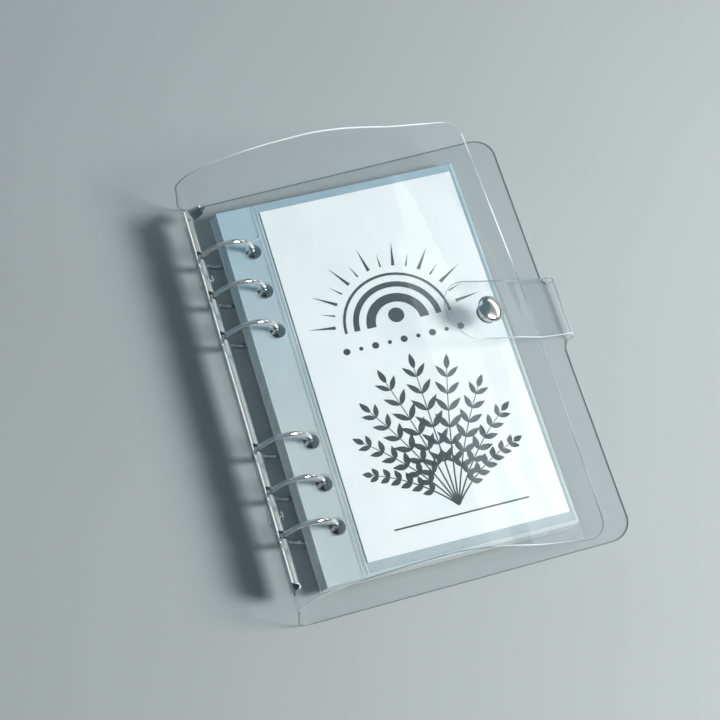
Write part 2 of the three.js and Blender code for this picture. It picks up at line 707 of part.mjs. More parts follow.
function card() {
  const left = pocketLeft + CARD_FROM_WELD;
  const bottom = -ENVELOPE_HEIGHT / 2 + CARD_FROM_BOTTOM;
  const lift = (ENVELOPE_THICKNESS - CARD_THICKNESS) / 2;
  return boxBetween([left, bottom, lift], [left + CARD_WIDTH, bottom + CARD_HEIGHT, lift + CARD_THICKNESS]);
}

for (let layer = 0; layer < ENVELOPE_COUNT; layer++) {
  addPart(`envelope_${layer + 1}`, intoStack(envelope(), layer), "envelopeFilm");
  addPart(`card_${layer + 1}`, intoStack(card(), layer), "card");
}

export default group;
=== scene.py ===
"""A clear six-ring wallet for cash envelopes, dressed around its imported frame.

Everything is in metres, in the frame's own axes: +X towards the opening side, +Y up the spine, +Z up.
"""

import logging
import math
from dataclasses import dataclass, field
from enum import Enum
from typing import Callable, Optional, Sequence, Union

import bmesh
import bpy
import numpy as np
from mathutils import Matrix, Vector


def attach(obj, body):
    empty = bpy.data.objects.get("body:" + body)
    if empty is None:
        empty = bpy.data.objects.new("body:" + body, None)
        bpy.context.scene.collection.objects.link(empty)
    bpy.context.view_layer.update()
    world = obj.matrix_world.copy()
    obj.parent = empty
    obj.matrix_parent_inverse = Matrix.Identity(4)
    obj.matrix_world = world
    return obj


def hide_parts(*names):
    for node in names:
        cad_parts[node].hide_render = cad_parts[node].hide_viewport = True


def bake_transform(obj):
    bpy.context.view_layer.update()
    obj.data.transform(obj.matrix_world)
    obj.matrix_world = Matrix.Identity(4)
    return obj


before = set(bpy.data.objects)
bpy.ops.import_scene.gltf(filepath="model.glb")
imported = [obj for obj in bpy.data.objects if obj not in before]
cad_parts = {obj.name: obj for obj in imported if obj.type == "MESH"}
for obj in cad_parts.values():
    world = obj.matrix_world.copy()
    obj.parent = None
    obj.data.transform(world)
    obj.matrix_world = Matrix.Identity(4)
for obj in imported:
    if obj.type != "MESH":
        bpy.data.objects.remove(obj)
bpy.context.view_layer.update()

logging.basicConfig(level=logging.INFO, format="%(message)s")
log = logging.getLogger("wallet")

MM = 0.001

# A path of light passes every face of strap, cover and top envelope, and its shadow ray passes them again
TRANSPARENT_FACES = 26
Array = np.ndarray
Value = Union["Sock", int, float]


class Side(Enum):
    """The two half rings of each ring."""

    UPPER = 1
    LOWER = -1


class Body(str, Enum):
    """The frame's moving bodies."""

    BINDER = "binder"
    FRONT = "front"
    STRAP = "strap"
    UPPER = "upper_rings"
    LOWER = "lower_rings"
    LEVER = "lever"


# Sizes that the pieces share, in millimetres, in book coordinates: x from the spine's outer face


@dataclass(frozen=True)
class Book:
    """The driving sizes of the wallet, the same as the frame's.

    Args:
        origin_x: the book x of the frame's origin.
        height: the cover's height along the spine.
        width: the back cover's width.
        sheet: the thickness of the cover sheet.
        corner: the radius of the cover's corners.
        ring_middle: the height of the rings' seam above the table.
        spine_top: where the front cover starts.
        spine_bend: the outer radius between back cover and spine.
    """

    origin_x: float = 72.15
    height: float = 192.0
    width: float = 141.0
    sheet: float = 0.6
    corner: float = 9.0
    ring_middle: float = 14.6
    spine_top: float = 22.4
    spine_bend: float = 7.1
    rings: tuple = (63.5, 44.5, 25.5, -25.5, -44.5, -63.5)

    def metres(self, points: Array) -> Array:
        """Turns book points in millimetres, whose last axis is x, y, z, into frame points in metres."""
        moved = np.asarray(points, float) - np.array([self.origin_x, 0.0, 0.0])
        return moved * MM


BOOK = Book()


# Shader tools


class Sock:
    """A socket of a material's nodes, with arithmetic that adds Math nodes."""

    def __init__(self, nodes: "NodeDesk", socket: bpy.types.NodeSocket) -> None:
        """Keeps the socket and the desk that made it."""
        self.nodes = nodes
        self.socket = socket

    def _math(self, operation: str, first: Value, second: Value) -> "Sock":
        """Adds one Math node with two values."""
        return self.nodes.add("ShaderNodeMath", {"operation": operation}, {0: first, 1: second})

    def __add__(self, other: Value) -> "Sock":
        """Sum."""
        return self._math("ADD", self, other)

    __radd__ = __add__

    def __mul__(self, other: Value) -> "Sock":
        """Product."""
        return self._math("MULTIPLY", self, other)

    __rmul__ = __mul__

    def __pow__(self, other: Value) -> "Sock":
        """Power."""
        return self._math("POWER", self, other)

    def spread(self, low: float, high: float, to_low: float = 0.0, to_high: float = 1.0) -> "Sock":
        """Maps low..high to to_low..to_high, held at both ends."""
        return self.nodes.add("ShaderNodeMapRange", {"clamp": True}, {
            "Value": self, "From Min": low, "From Max": high, "To Min": to_low, "To Max": to_high})


class NodeDesk:
    """The nodes of one material."""

    def __init__(self, name: str) -> None:
        """Starts an empty material of that name."""
        self.material = bpy.data.materials.new(name)
        self.material.use_nodes = True
        self.tree = self.material.node_tree
        self.tree.nodes.clear()
        self.output = self.tree.nodes.new("ShaderNodeOutputMaterial")

    def add(self, kind: str, settings: dict, inputs: dict, out: Union[int, str] = 0) -> Sock:
        """Adds one node.

        Args:
            kind: the node's type.
            settings: what is set on the node first.
            inputs: a value or a socket for each named or numbered input.
            out: the output that is handed back.

        Returns:
            That output.
        """
        node = self.tree.nodes.new(kind)
        for key, value in settings.items():
            setattr(node, key, value)
        for key, value in inputs.items():
            if isinstance(value, Sock):
                self.tree.links.new(value.socket, node.inputs[key])
            else:
                node.inputs[key].default_value = value
        return Sock(self, node.outputs[out])

    def place(self) -> Sock:
        """The point in the object's own coordinates, which are the frame's."""
        return self.add("ShaderNodeTexCoord", {}, {}, "Object")

    def noise(self, scale: float, detail: float = 3.0, stretch: Sequence[float] = (1, 1, 1)) -> Sock:
        """Soft noise in the object's coordinates.

        Args:
            scale: repeats per metre.
            detail: octaves.
            stretch: how much each axis is stretched before it is read.

        Returns:
            A value from 0 to 1.
        """
        moved = self.add("ShaderNodeMapping", {"vector_type": "POINT"}, {
            "Vector": self.place(), "Scale": stretch})
        return self.add("ShaderNodeTexNoise", {"noise_dimensions": "3D"}, {
            "Vector": moved, "Scale": scale, "Detail": detail, "Roughness": 0.55}, "Fac")

    def mix_colour(self, share: Value, first: Sequence[float], second: Sequence[float]) -> Sock:
        """A colour between two: a share of 0 gives the first, 1 the second."""
        node = self.tree.nodes.new("ShaderNodeMix")
        node.data_type = "RGBA"
        for socket, value in zip((node.inputs[0], node.inputs[6], node.inputs[7]), (share, first, second)):
            if isinstance(value, Sock):
                self.tree.links.new(value.socket, socket)
            elif isinstance(value, (int, float)):
                socket.default_value = value
            else:
                socket.default_value = (*value[:3], 1.0)
        return Sock(self, node.outputs[2])

    def bump(self, height: Sock, distance: float, strength: float = 1.0) -> Sock:
        """A normal from a height, where a height of 1 stands for distance metres."""
        heights = {"Height": height, "Distance": distance, "Strength": strength}
        return self.add("ShaderNodeBump", {}, heights, "Normal")

    def principled(self, **inputs: Union[Value, Sequence[float]]) -> Sock:
        """A Principled shader. Underscores in a name stand for spaces."""
        named = {}
        for key, value in inputs.items():
            if isinstance(value, tuple) and len(value) == 3:
                value = (*value, 1.0)
            named[key.replace("_", " ")] = value
        return self.add("ShaderNodeBsdfPrincipled", {}, named)

    def finish(self, shader: Sock) -> bpy.types.Material:
        """Joins the shader to the output and hands the material back."""
        self.tree.links.new(shader.socket, self.output.inputs["Surface"])
        return self.material


# Finishes


@dataclass(frozen=True)
class ClearSheet:
    """Thin clear sheet: what is behind shows through, and more of the room shows at a shallow angle.

    Args:
        name: the material's name.
        tint: the colour of what comes through one face.
        facing: the share that reflects, face on.
        glancing: the share that reflects at a shallow angle.
        haze: the share of the sheet's soft cloudy layer, partly the film's own cloudiness and partly painted
            reflection.
        top_haze_and_reflection, low_haze_and_reflection: the cloudy layer's colour at the top and at the
        bottom of the book, a painted reflection of the blue room that fades lower down; the top colour also
        tints the sheet's reflection.
        mottle: how uneven the cloudy layer is.
        wave: the height of the sheet's slow waves, in metres.
        rough: the roughness of the reflection.
    """

    name: str
    tint: tuple = (0.982, 0.989, 0.991)
    facing: float = 0.03
    glancing: float = 0.5
    haze: float = 0.006
    top_haze_and_reflection: tuple = (0.82, 0.88, 0.91)
    low_haze_and_reflection: tuple = (0.84, 0.88, 0.90)
    mottle: float = 0.6
    wave: float = 0.0006
    rough: float = 0.07

    def build(self) -> bpy.types.Material:
        """Makes the material."""
        desk = NodeDesk(self.name)
        slow = desk.noise(26.0, 2.0, (1.0, 0.45, 1.0))
        fine = desk.noise(140.0, 3.0)
        normal = desk.bump(slow + fine * 0.08, self.wave)
        weight = desk.add("ShaderNodeLayerWeight", {}, {"Blend": 0.32, "Normal": normal}, "Facing")
        share = (weight ** 3.0) * (self.glancing - self.facing) + self.facing
        through = desk.add("ShaderNodeBsdfTransparent", {}, {"Color": (*self.tint, 1.0)})
        shine = desk.principled(
            Base_Color=self.top_haze_and_reflection, Metallic=1.0, Roughness=self.rough, Normal=normal)
        clear = desk.add("ShaderNodeMixShader", {}, {0: share, 1: through, 2: shine})
        # Painted reflection: up the book the cloudy layer's colour goes from the low colour to the top colour,
        # the blue room painted on
        along = desk.add("ShaderNodeSeparateXYZ", {}, {"Vector": desk.place()}, "Y").spread(-0.02, 0.07)
        tone = desk.mix_colour(along, self.low_haze_and_reflection, self.top_haze_and_reflection)
        haze_and_painted_reflection = desk.principled(Base_Color=tone, Roughness=0.35, Normal=normal)
        cloud = desk.noise(38.0, 4.0)
        amount = cloud.spread(0.4, 0.75, 1.0 - self.mottle, 1.0) * self.haze
        return desk.finish(desk.add("ShaderNodeMixShader", {}, {0: amount, 1: clear, 2: haze_and_painted_reflection}))


@dataclass(frozen=True)
class CutEdge:
    """The cut edge of a clear sheet, painted with a highlight in some places and with painted shade in others.

    Args:
        name: the material's name.
        dark: the colour of the painted shade.
        bright: the colour of the painted highlight.
        share: how much of it carries the painted highlight.
        cover: how much it hides.
    """

    name: str
    dark: tuple = (0.18, 0.24, 0.27)
    bright: tuple = (0.86, 0.91, 0.93)
    share: float = 0.5
    cover: float = 0.8

    def build(self) -> bpy.types.Material:
        """Makes the material."""
        desk = NodeDesk(self.name)
        # Runs of painted highlight and painted shade along the edge, set by a slow noise
        runs = desk.noise(17.0, 2.0).spread(0.68 - 0.4 * self.share, 0.82 - 0.4 * self.share)
        grain = desk.noise(900.0, 2.0)
        colour = desk.mix_colour(runs, self.dark, self.bright)
        solid = desk.principled(
            Base_Color=colour, Roughness=0.16, IOR=1.5,
            Normal=desk.bump(grain, 0.00002))
        through = desk.add("ShaderNodeBsdfTransparent", {}, {"Color": (0.9, 0.94, 0.95, 1.0)})
        return desk.finish(desk.add("ShaderNodeMixShader", {}, {0: self.cover, 1: through, 2: solid}))


@dataclass(frozen=True)
class Plated:
    """Bright plated steel with a faint grain and handling marks.

    Args:
        name: the material's name.
        colour: the metal's colour.
        rough: its roughness where it is clean.
        marks: how much rougher the marks are.
    """

    name: str
    colour: tuple = (0.80, 0.81, 0.80)
    shade: tuple = (0.70, 0.71, 0.70)
    rough: float = 0.1
    marks: float = 0.14
    grain: float = 0.00001

    def build(self) -> bpy.types.Material:
        """Makes the material."""
        desk = NodeDesk(self.name)
        smears = desk.noise(120.0, 4.0)
        scratches = desk.noise(700.0, 3.0, (1.0, 0.12, 1.0))
        rough = smears.spread(0.45, 0.75, self.rough, self.rough + self.marks)
        colour = desk.mix_colour(smears.spread(0.4, 0.8), self.colour, self.shade)
        return desk.finish(desk.principled(
            Base_Color=colour, Metallic=1.0, Roughness=rough,
            Normal=desk.bump(scratches, self.grain)))


@dataclass(frozen=True)
class Card:
    """Smooth white card with a fine fibre.

    Args:
        name: the material's name.
        colour: the card's colour.
        fleck: the colour of its faint flecks.
    """

    name: str
    colour: tuple = (0.95, 0.955, 0.955)
    fleck: tuple = (0.84, 0.86, 0.87)

    def build(self) -> bpy.types.Material:
        """Makes the material."""
        desk = NodeDesk(self.name)
        fibre = desk.noise(2600.0, 4.0)
        tone = desk.noise(60.0, 3.0).spread(0.35, 0.75)
        colour = desk.mix_colour(tone * 0.5, self.colour, self.fleck)
        return desk.finish(desk.principled(
            Base_Color=colour, Roughness=fibre.spread(0.3, 0.7, 0.7, 0.9),
            Normal=desk.bump(fibre, 0.00002)))


@dataclass(frozen=True)
class Ink:
    """Dark grey print with slightly uneven coverage.

    Args:
        name: the material's name.
        colour: where the ink is full.
        thin: where it is thin.
    """

    name: str
    colour: tuple = (0.018, 0.028, 0.033)
    thin: tuple = (0.06, 0.078, 0.085)

    def build(self) -> bpy.types.Material:
        """Makes the material."""
        desk = NodeDesk(self.name)
        cover = desk.noise(420.0, 4.0).spread(0.42, 0.72)
        fade = desk.noise(22.0, 2.0).spread(0.35, 0.7)
        colour = desk.mix_colour(cover * 0.35 + fade * 0.45, self.colour, self.thin)
        return desk.finish(desk.principled(
            Base_Color=colour, Roughness=cover.spread(0.0, 1.0, 0.5, 0.72),
            Normal=desk.bump(cover, 0.000006)))


@dataclass(frozen=True)
class Tabletop:
    """The plain pale floor, with hardly any grain."""

    name: str = "floor"
    colour: tuple = (0.372, 0.402, 0.408)

    def build(self) -> bpy.types.Material:
        """Makes the material."""
        desk = NodeDesk(self.name)
        grain = desk.noise(700.0, 3.0)
        tone = desk.noise(5.0, 2.0).spread(0.3, 0.7)
        colour = desk.mix_colour(tone, self.colour, tuple(0.955 * c for c in self.colour))
        return desk.finish(desk.principled(
            Base_Color=colour, Roughness=0.85, Normal=desk.bump(grain, 0.00002)))


# Mesh tools


def run_length(path: Array) -> Array:
    """The length along a path up to each of its points."""
    return np.concatenate([[0.0], np.cumsum(np.linalg.norm(np.diff(path, axis=0), axis=1))])


def along(points: Sequence[Sequence[float]], count: int, ease: bool = True) -> Array:
    """Points evenly spaced by length along a path.

    The path is a Catmull-Rom curve through the given points: each stretch is the cubic whose slope at a point
    is half the chord between that point's two neighbours.

    Args:
        points: the path's own points, each of any size.
        count: how many come out.
        ease: a curve if true, otherwise straight stretches.

    Returns:
        The points, one per row.
    """
    path = np.asarray(points, float)
    if ease:
        padded = np.vstack([2 * path[0] - path[1], path, 2 * path[-1] - path[-2]])
        t = np.linspace(0, 1, 24, endpoint=False)[:, None, None]
        p0, p1, p2, p3 = padded[:-3], padded[1:-2], padded[2:-1], padded[3:]
        curve = 0.5 * (2 * p1 + (p2 - p0) * t + (2 * p0 - 5 * p1 + 4 * p2 - p3) * t**2
                       + (3 * p1 - p0 - 3 * p2 + p3) * t**3)
        path = np.vstack([curve.transpose(1, 0, 2).reshape(-1, path.shape[1]), path[-1]])
    length = run_length(path)
    wanted = np.linspace(0, length[-1], count)
    return np.stack([np.interp(wanted, length, path[:, k]) for k in range(path.shape[1])], axis=1)


def grid_normals(points: Array) -> Array:
    """Unit normals of a grid of points: the cross product of the differences along its two directions."""
    down = np.gradient(points, axis=0)
    across = np.gradient(points, axis=1)
    normal = np.cross(down, across)
    return normal / np.maximum(np.linalg.norm(normal, axis=2, keepdims=True), 1e-12)


def shell(points: Array, thickness: float, keep: Optional[Array] = None,
          trim: Optional[Array] = None) -> tuple[Array, Array, Array]:
    """A closed sheet of even thickness around a grid of points on its middle surface.

    Each point gives two, half the thickness to either side along the grid's normal. Kept cells are faced on
    both sides, and a wall stands wherever a kept cell has no kept neighbour, so holes are closed as well.

    Args:
        points: rows by columns by 3, in millimetres.
        thickness: of the sheet.
        keep: which cells exist, or None for all of them.
        trim: which cells show the cut edge's finish on their faces.

    Returns:
        Vertices, quads, and each quad's finish: 0 for the sheet, 1 for its cut edge.
    """
    rows, columns = points.shape[:2]
    keep = np.ones((rows - 1, columns - 1), bool) if keep is None else keep
    trim = np.zeros_like(keep) if trim is None else trim
    normal = grid_normals(points)
    vertices = np.concatenate([
        (points + normal * thickness / 2).reshape(-1, 3),
        (points - normal * thickness / 2).reshape(-1, 3)])
    index = np.arange(rows * columns).reshape(rows, columns)
    under = rows * columns
    a, b, c, d = index[:-1, :-1], index[1:, :-1], index[1:, 1:], index[:-1, 1:]
    top = np.stack([a, b, c, d], axis=-1)[keep]
    bottom = np.stack([a, d, c, b], axis=-1)[keep] + under
    quads = [top, bottom]
    finish = [trim[keep].astype(int), trim[keep].astype(int)]
    padded = np.pad(keep, 1)
    inner = padded[1:-1, 1:-1]
    sides = ((padded[1:-1, :-2], a, b), (padded[2:, 1:-1], b, c),
             (padded[1:-1, 2:], c, d), (padded[:-2, 1:-1], d, a))
    for neighbour, first, second in sides:
        open_side = inner & ~neighbour
        p, q = first[open_side], second[open_side]
        quads.append(np.stack([q, p, p + under, q + under], axis=-1))
        finish.append(np.ones(len(p), int))
    return vertices, np.concatenate(quads), np.concatenate(finish)


def xyz(x: Array, y: Array, z: Array) -> Array:
    """Points from their coordinates, which are spread to one shape."""
    return np.stack(np.broadcast_arrays(x, y, z), axis=-1)


def ring_quads(rows: int, sides: int) -> Array:
    """Quads between neighbouring rows of points, where each row is a closed ring."""
    index = np.arange(rows * sides).reshape(rows, sides)
    nearby = np.roll(index, -1, axis=1)
    return np.stack([index[:-1], nearby[:-1], nearby[1:], index[1:]], axis=-1).reshape(-1, 4)


def facing_out(vertices: Array, quads: Array) -> Array:
    """A closed mesh's quads, turned round if the signed volume of their triangles is negative."""
    a, b, c, d = (vertices[quads[:, k]] for k in range(4))
    volume = np.einsum("ij,ij->i", a, np.cross(b, c)) + np.einsum("ij,ij->i", a, np.cross(c, d))
    return quads[:, ::-1] if float(volume.sum()) < 0 else quads


def turned(profile: Array, sides: int, origin: Array, axis: Array) -> tuple[Array, Array]:
    """A turned piece: its profile of radius and height goes round an axis, and its poles are closed by fans.

    Args:
        profile: one row of radius and height for each point, from pole to pole, in millimetres.
        sides: how many steps make the circle.
        origin: where height 0 lies on the axis.
        axis: the direction of height.

    Returns:
        Vertices and quads, the quads at a pole with two equal corners.
    """
    axis = np.asarray(axis, float) / np.linalg.norm(axis)
    helper = np.array([0.0, 1.0, 0.0]) if abs(axis[1]) < 0.9 else np.array([1.0, 0.0, 0.0])
    first = np.cross(helper, axis)
    first /= np.linalg.norm(first)
    second = np.cross(axis, first)
    angle = np.linspace(0, 2 * np.pi, sides, endpoint=False)
    circle = np.cos(angle)[:, None] * first + np.sin(angle)[:, None] * second
    radius, height = profile[:, 0], profile[:, 1]
    vertices = (np.asarray(origin) + height[:, None, None] * axis + radius[:, None, None] * circle[None])
    return vertices.reshape(-1, 3), ring_quads(len(profile), sides)


def tube(path: Array, radius: Union[float, Array], sides: int = 24) -> tuple[Array, Array]:
    """A round wire: at each point of the path a circle stands square to the path's direction.

    Args:
        path: the points of its middle line, in millimetres.
        radius: of the wire, one value or one for each point. A radius of 0 closes an end.
        sides: how many steps make the circle.

    Returns:
        Vertices and quads.
    """
    tangent = np.gradient(path, axis=0)
    tangent /= np.linalg.norm(tangent, axis=1, keepdims=True)
    helper = np.cross(path[len(path) // 2] - path[0], path[-1] - path[0])
    if np.linalg.norm(helper) < 1e-9:
        helper = np.array([0.0, 0.0, 1.0]) if abs(tangent[0][2]) < 0.9 else np.array([0.0, 1.0, 0.0])
    helper /= np.linalg.norm(helper)
    out = np.cross(helper, tangent)
    out /= np.linalg.norm(out, axis=1, keepdims=True)
    side = np.cross(tangent, out)
    angle = np.linspace(0, 2 * np.pi, sides, endpoint=False)
    size = np.broadcast_to(np.asarray(radius, float), (len(path),))[:, None, None]
    vertices = path[:, None, :] + size * (
        np.cos(angle)[None, :, None] * out[:, None, :] + np.sin(angle)[None, :, None] * side[:, None, :])
    return vertices.reshape(-1, 3), ring_quads(len(path), sides)


def capped(path: Array, radius: float) -> tuple[Array, Array]:
    """A wire's longer path and a radius for each point, which close both ends with a small round edge."""
    first = (path[1] - path[0]) / np.linalg.norm(path[1] - path[0])
    last = (path[-1] - path[-2]) / np.linalg.norm(path[-1] - path[-2])
    soft = 0.12 * radius
    long = np.vstack([path[0], path[0] + first * 1e-4, path[0] + first * soft, path[1:-1],
                      path[-1] - last * soft, path[-1] - last * 1e-4, path[-1]])
    radii = np.full(len(long), radius)
    radii[[0, -1]] = 0.0
    radii[[1, -2]] = radius - soft
    return long, radii


def slab(outline: Array, height: Array, thickness: float) -> tuple[Array, list]:
    """A thin flat piece: an outline as one face on top, the same below, and walls between.

    Args:
        outline: its corners as x and y, counter-clockwise seen from above, in millimetres.
        height: the height of each corner.
        thickness: of the piece.

    Returns:
        Vertices and faces.
    """
    count = len(outline)
    top = np.column_stack([outline, height + thickness])
    bottom = np.column_stack([outline, height])
    index = np.arange(count)
    nearby = np.roll(index, -1)
    walls = np.stack([nearby, index, index + count, nearby + count], axis=-1)
    faces = [index.tolist(), (index[::-1] + count).tolist(), *walls.tolist()]
    return np.vstack([top, bottom]), faces


def make_piece(name: str, vertices: Array, faces: Union[Array, list], materials: Sequence[bpy.types.Material],
               finish: Optional[Array] = None, smooth_angle: float = 35.0) -> bpy.types.Object:
    """Makes one mesh object in the frame.

    Args:
        name: the piece's name.
        vertices: its points in book millimetres.
        faces: its faces as rows of indices.
        materials: its material slots.
        finish: each face's slot, or None for the first.
        smooth_angle: faces that meet at less than this are shaded as one.

    Returns:
        The object, at the origin.
    """
    mesh = bpy.data.meshes.new(name)
    rows = faces.tolist() if isinstance(faces, np.ndarray) else faces
    mesh.from_pydata(BOOK.metres(vertices).tolist(), [], rows)
    for material in materials:
        mesh.materials.append(material)
    if finish is not None:
        mesh.polygons.foreach_set("material_index", np.asarray(finish, np.int32))
    mesh.validate(clean_customdata=False)
    merge_doubles(mesh)
    mesh.polygons.foreach_set("use_smooth", np.ones(len(mesh.polygons), bool))
    mesh.set_sharp_from_angle(angle=math.radians(smooth_angle))
    mesh.update()
    made = bpy.data.objects.new(name, mesh)
    bpy.context.scene.collection.objects.link(made)
    return made


def merge_doubles(mesh: bpy.types.Mesh) -> None:
    """Merges points that lie together, so poles and seams are closed, and drops faces with no area."""
    work = bmesh.new()
    work.from_mesh(mesh)
    bmesh.ops.remove_doubles(work, verts=work.verts, dist=1e-7)
    bmesh.ops.dissolve_degenerate(work, edges=work.edges, dist=1e-8)
    work.to_mesh(mesh)
    work.free()


def together(parts: Sequence[tuple[Array, list]]) -> tuple[Array, list]:
    """Joins several sets of vertices and faces into one."""
    vertices, faces, start = [], [], 0
    for points, rows in parts:
        rows = rows.tolist() if isinstance(rows, np.ndarray) else rows
        vertices.append(points)
        faces.extend([[corner + start for corner in row] for row in rows])
        start += len(points)
    return np.vstack(vertices), faces


def on_body(piece: bpy.types.Object, body: Body, slot: str, *nodes: str) -> bpy.types.Object:
    """Rides a piece on its body and hides the frame's nodes that it stands for.

    Args:
        piece: the finished object.
        body: what it moves with.
        slot: the record's material slot, not used.
        nodes: the frame's nodes that it replaces.

    Returns:
        The same object.
    """
    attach(piece, body.value)
    if nodes:
        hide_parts(*nodes)
    log.info("%s: %d faces on %s", piece.name, len(piece.data.polygons), body.value)
    return piece


def across_joint(piece: bpy.types.Object,
                 node: str) -> bpy.types.Object:
    """Bakes a cover sheet's place into its mesh and hides the frame's node that it replaces.

    Args:
        piece: the finished object.
        node: the frame's node that it replaces.

    Returns:
        The same object.
    """
    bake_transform(piece)
    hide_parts(node)
    log.info("%s: %d faces", piece.name, len(piece.data.polygons))
    return piece


# The cover


@dataclass
class Cover:
    """The one-piece clear cover: back, spine, arched front and closing strap.

    Args:
        sheet: the finish of its faces.
        edge_bright, edge_dark: the finishes of its cut edges, painted highlight and painted shade, the first
            mostly highlight and the second mostly shade.
        crest, edge, short: the front cover's highest point, its right edge's height and how far that edge
            stops short, at the top, along the strap and at the bottom.
        strap_width, strap_middle, strap_reach: its width, its y and how far it comes in from the cover's edge.
        strap_straight: the x where the strap starts to follow the front cover's slope.
        seat_margin: how far the even part of the front cover goes past the strap on each side.
        wrap_radius: of the strap's middle line where it turns up round the edge.
        flare: how much wider the strap's root is on each side.
        snap_from_edge, strap_lift: the snap's place, and the strap's height over the front cover there.
        rim: the width of the band along a cut edge that carries the edge's painted highlight and painted
            shade.
        join_share: the share of the way across over which the front cover leaves the spine.
        rise, fall: the shares of the climb to the crest and of the fall past it, each with its place.
        front_strip, strap_strip: the start and end of a strip at each joint, not used.
    """

    sheet: bpy.types.Material
    edge_bright: bpy.types.Material
    edge_dark: bpy.types.Material
    crest: tuple = (41.5, 41.5, 43.2)
    edge: tuple = (22.5, 10.0, 8.0)
    short: tuple = (16.5, 11.5, 12.0)
    strap_width: float = 27.0
    strap_middle: float = 7.0
    strap_reach: float = 50.0
    strap_straight: float = 120.4
    seat_margin: float = 2.0
    wrap_radius: float = 3.8
    flare: float = 4.0
    snap_from_edge: float = 31.5
    strap_lift: float = 3.3
    rim: float = 0.24
    join_share: float = 0.012
    rise: tuple = ((0, 0), (0.022, 0.28), (0.058, 0.49), (0.11, 0.665), (0.17, 0.78), (0.25, 0.895),
                   (0.34, 0.97))
    fall: tuple = ((0.46, 0), (0.56, 0.1), (0.66, 0.31), (0.76, 0.57), (0.845, 0.735), (0.93, 0.9), (1, 1))
    front_strip: tuple = ((0.3, 0, 22.3), (0.9, 0, 23.3))
    strap_strip: tuple = ((144.8, 0, 4.1), (139.5, 0, 8.2))

    def corner_cut(self, from_edge: Array) -> Array:
        """How much a round corner takes off the half height, at that distance from the edge."""
        inside = np.clip(BOOK.corner - from_edge, 0, None)
        return BOOK.corner - np.sqrt(BOOK.corner**2 - inside**2)

    def spread_across(self, half: Array, count: int) -> Array:
        """Columns of y for each row, with a thin rim at both ends.

        Args:
            half: each row's half height.
            count: columns between the rims.

        Returns:
            Rows by columns of y.
        """
        body = np.linspace(-1, 1, count)[None, :] * (half[:, None] - self.rim)
        return np.concatenate([-half[:, None], body, half[:, None]], axis=1)

    def back(self) -> bpy.types.Object:
        """Back cover, spine and the tongue's root, as one sheet.

        Rows run down the spine, round the bend and out to the right edge, then on along the tongue as it turns
        up round a quarter circle. Only the tongue's columns are kept past the edge.
        """
        middle = BOOK.sheet / 2
        radius = BOOK.spine_bend - middle
        bend = np.linspace(0, np.pi / 2, 13)[1:]
        spine_z = np.linspace(BOOK.spine_top, BOOK.spine_bend, 10)
        flat_x = np.concatenate([
            np.linspace(BOOK.spine_bend, BOOK.width - BOOK.corner, 30)[1:-1],
            BOOK.width - BOOK.corner * (1 - np.sin(np.linspace(0, np.pi / 2, 14)))[:-1],
            [BOOK.width - self.rim, BOOK.width]])
        turn = np.linspace(0, np.pi / 2, 12)[1:]
        centre = middle + self.wrap_radius
        x = np.concatenate([np.full(10, middle), BOOK.spine_bend - radius * np.cos(bend), flat_x,
                            BOOK.width + self.wrap_radius * np.sin(turn)])
        z = np.concatenate([spine_z, BOOK.spine_bend - radius * np.sin(bend), np.full(len(flat_x), middle),
                            centre - self.wrap_radius * np.cos(turn)])
        order = np.argsort(np.where(np.arange(len(x)) < 22, -1000 + np.arange(len(x)), x), kind="stable")
        main = len(x) - len(turn)
        order[main:] = np.arange(main, len(x))
        x, z = x[order], z[order]
        half = BOOK.height / 2 - self.corner_cut(np.clip(BOOK.width - x, 0, None))
        half[main:] = half[main - 1]
        low, high = self.strap_middle - self.strap_width / 2, self.strap_middle + self.strap_width / 2
        y = self.spread_across(half, 90)
        first = int(np.argmin(np.abs(y[main - 1] - (low - self.flare))))
        last = int(np.argmin(np.abs(y[main - 1] - (high + self.flare))))
        share = np.linspace(0, 1, last - first + 1)
        for row in range(main - 1, len(x)):
            lean = max(0.0, 1 - (row - main + 1) / 5.0) ** 2 * self.flare
            y[row, first:last + 1] = low - lean + share * (high - low + 2 * lean)
        points = xyz(x[:, None], y, z[:, None])
        keep = np.ones((len(x) - 1, y.shape[1] - 1), bool)
        keep[main - 1:, :first] = False
        keep[main - 1:, last:] = False
        trim = np.zeros_like(keep)
        trim[:main - 1, [0, -1]] = True
        trim[main - 2, :first] = True
        trim[main - 2, last:] = True
        vertices, quads, finish = shell(points, BOOK.sheet, keep, trim)
        self.plain_ends(vertices, quads, finish, (
            lambda p: p[:, 2] > BOOK.spine_top - 0.01,
            lambda p: (p[:, 0] > BOOK.width + 1) & (p[:, 2] > centre - 0.02)))
        piece = make_piece("cover_back_sheet", vertices, quads, (self.sheet, self.edge_dark), finish)
        return on_body(piece, Body.BINDER, "clear_sheet", "back_cover")

    @staticmethod
    def plain_ends(vertices: Array, quads: Array, finish: Array,
                   tests: Sequence[Callable[[Array], Array]]) -> None:
        """Gives end walls that meet another piece the plain finish, in place: tests find their points."""
        for test in tests:
            hit = test(vertices)[quads].all(axis=1)
            finish[hit] = 0

    @staticmethod
    def outer_trim(rows: int, columns: int) -> Array:
        """Marks the cells along a sheet's two sides and its far end."""
        trim = np.zeros((rows - 1, columns - 1), bool)
        trim[:, [0, -1]] = True
        trim[-1, :] = True
        return trim

    def section(self, y: Array) -> tuple[Array, Array, Array]:
        """Crest height, edge height and reach at each y: even across the strap, then straight to both ends."""
        half = self.strap_width / 2 + self.seat_margin
        ends = np.where(y > self.strap_middle, BOOK.height / 2 - self.strap_middle,
                        BOOK.height / 2 + self.strap_middle)
        away = np.clip(np.abs(y - self.strap_middle) - half, 0, None) / (ends - half)
        away = away ** 1.15
        upper = y > self.strap_middle

        def mix(table: tuple) -> Array:
            """One size between the strap and the nearer end."""
            return table[1] + (np.where(upper, table[0], table[2]) - table[1]) * away

        return mix(self.crest), mix(self.edge), BOOK.width - mix(self.short)

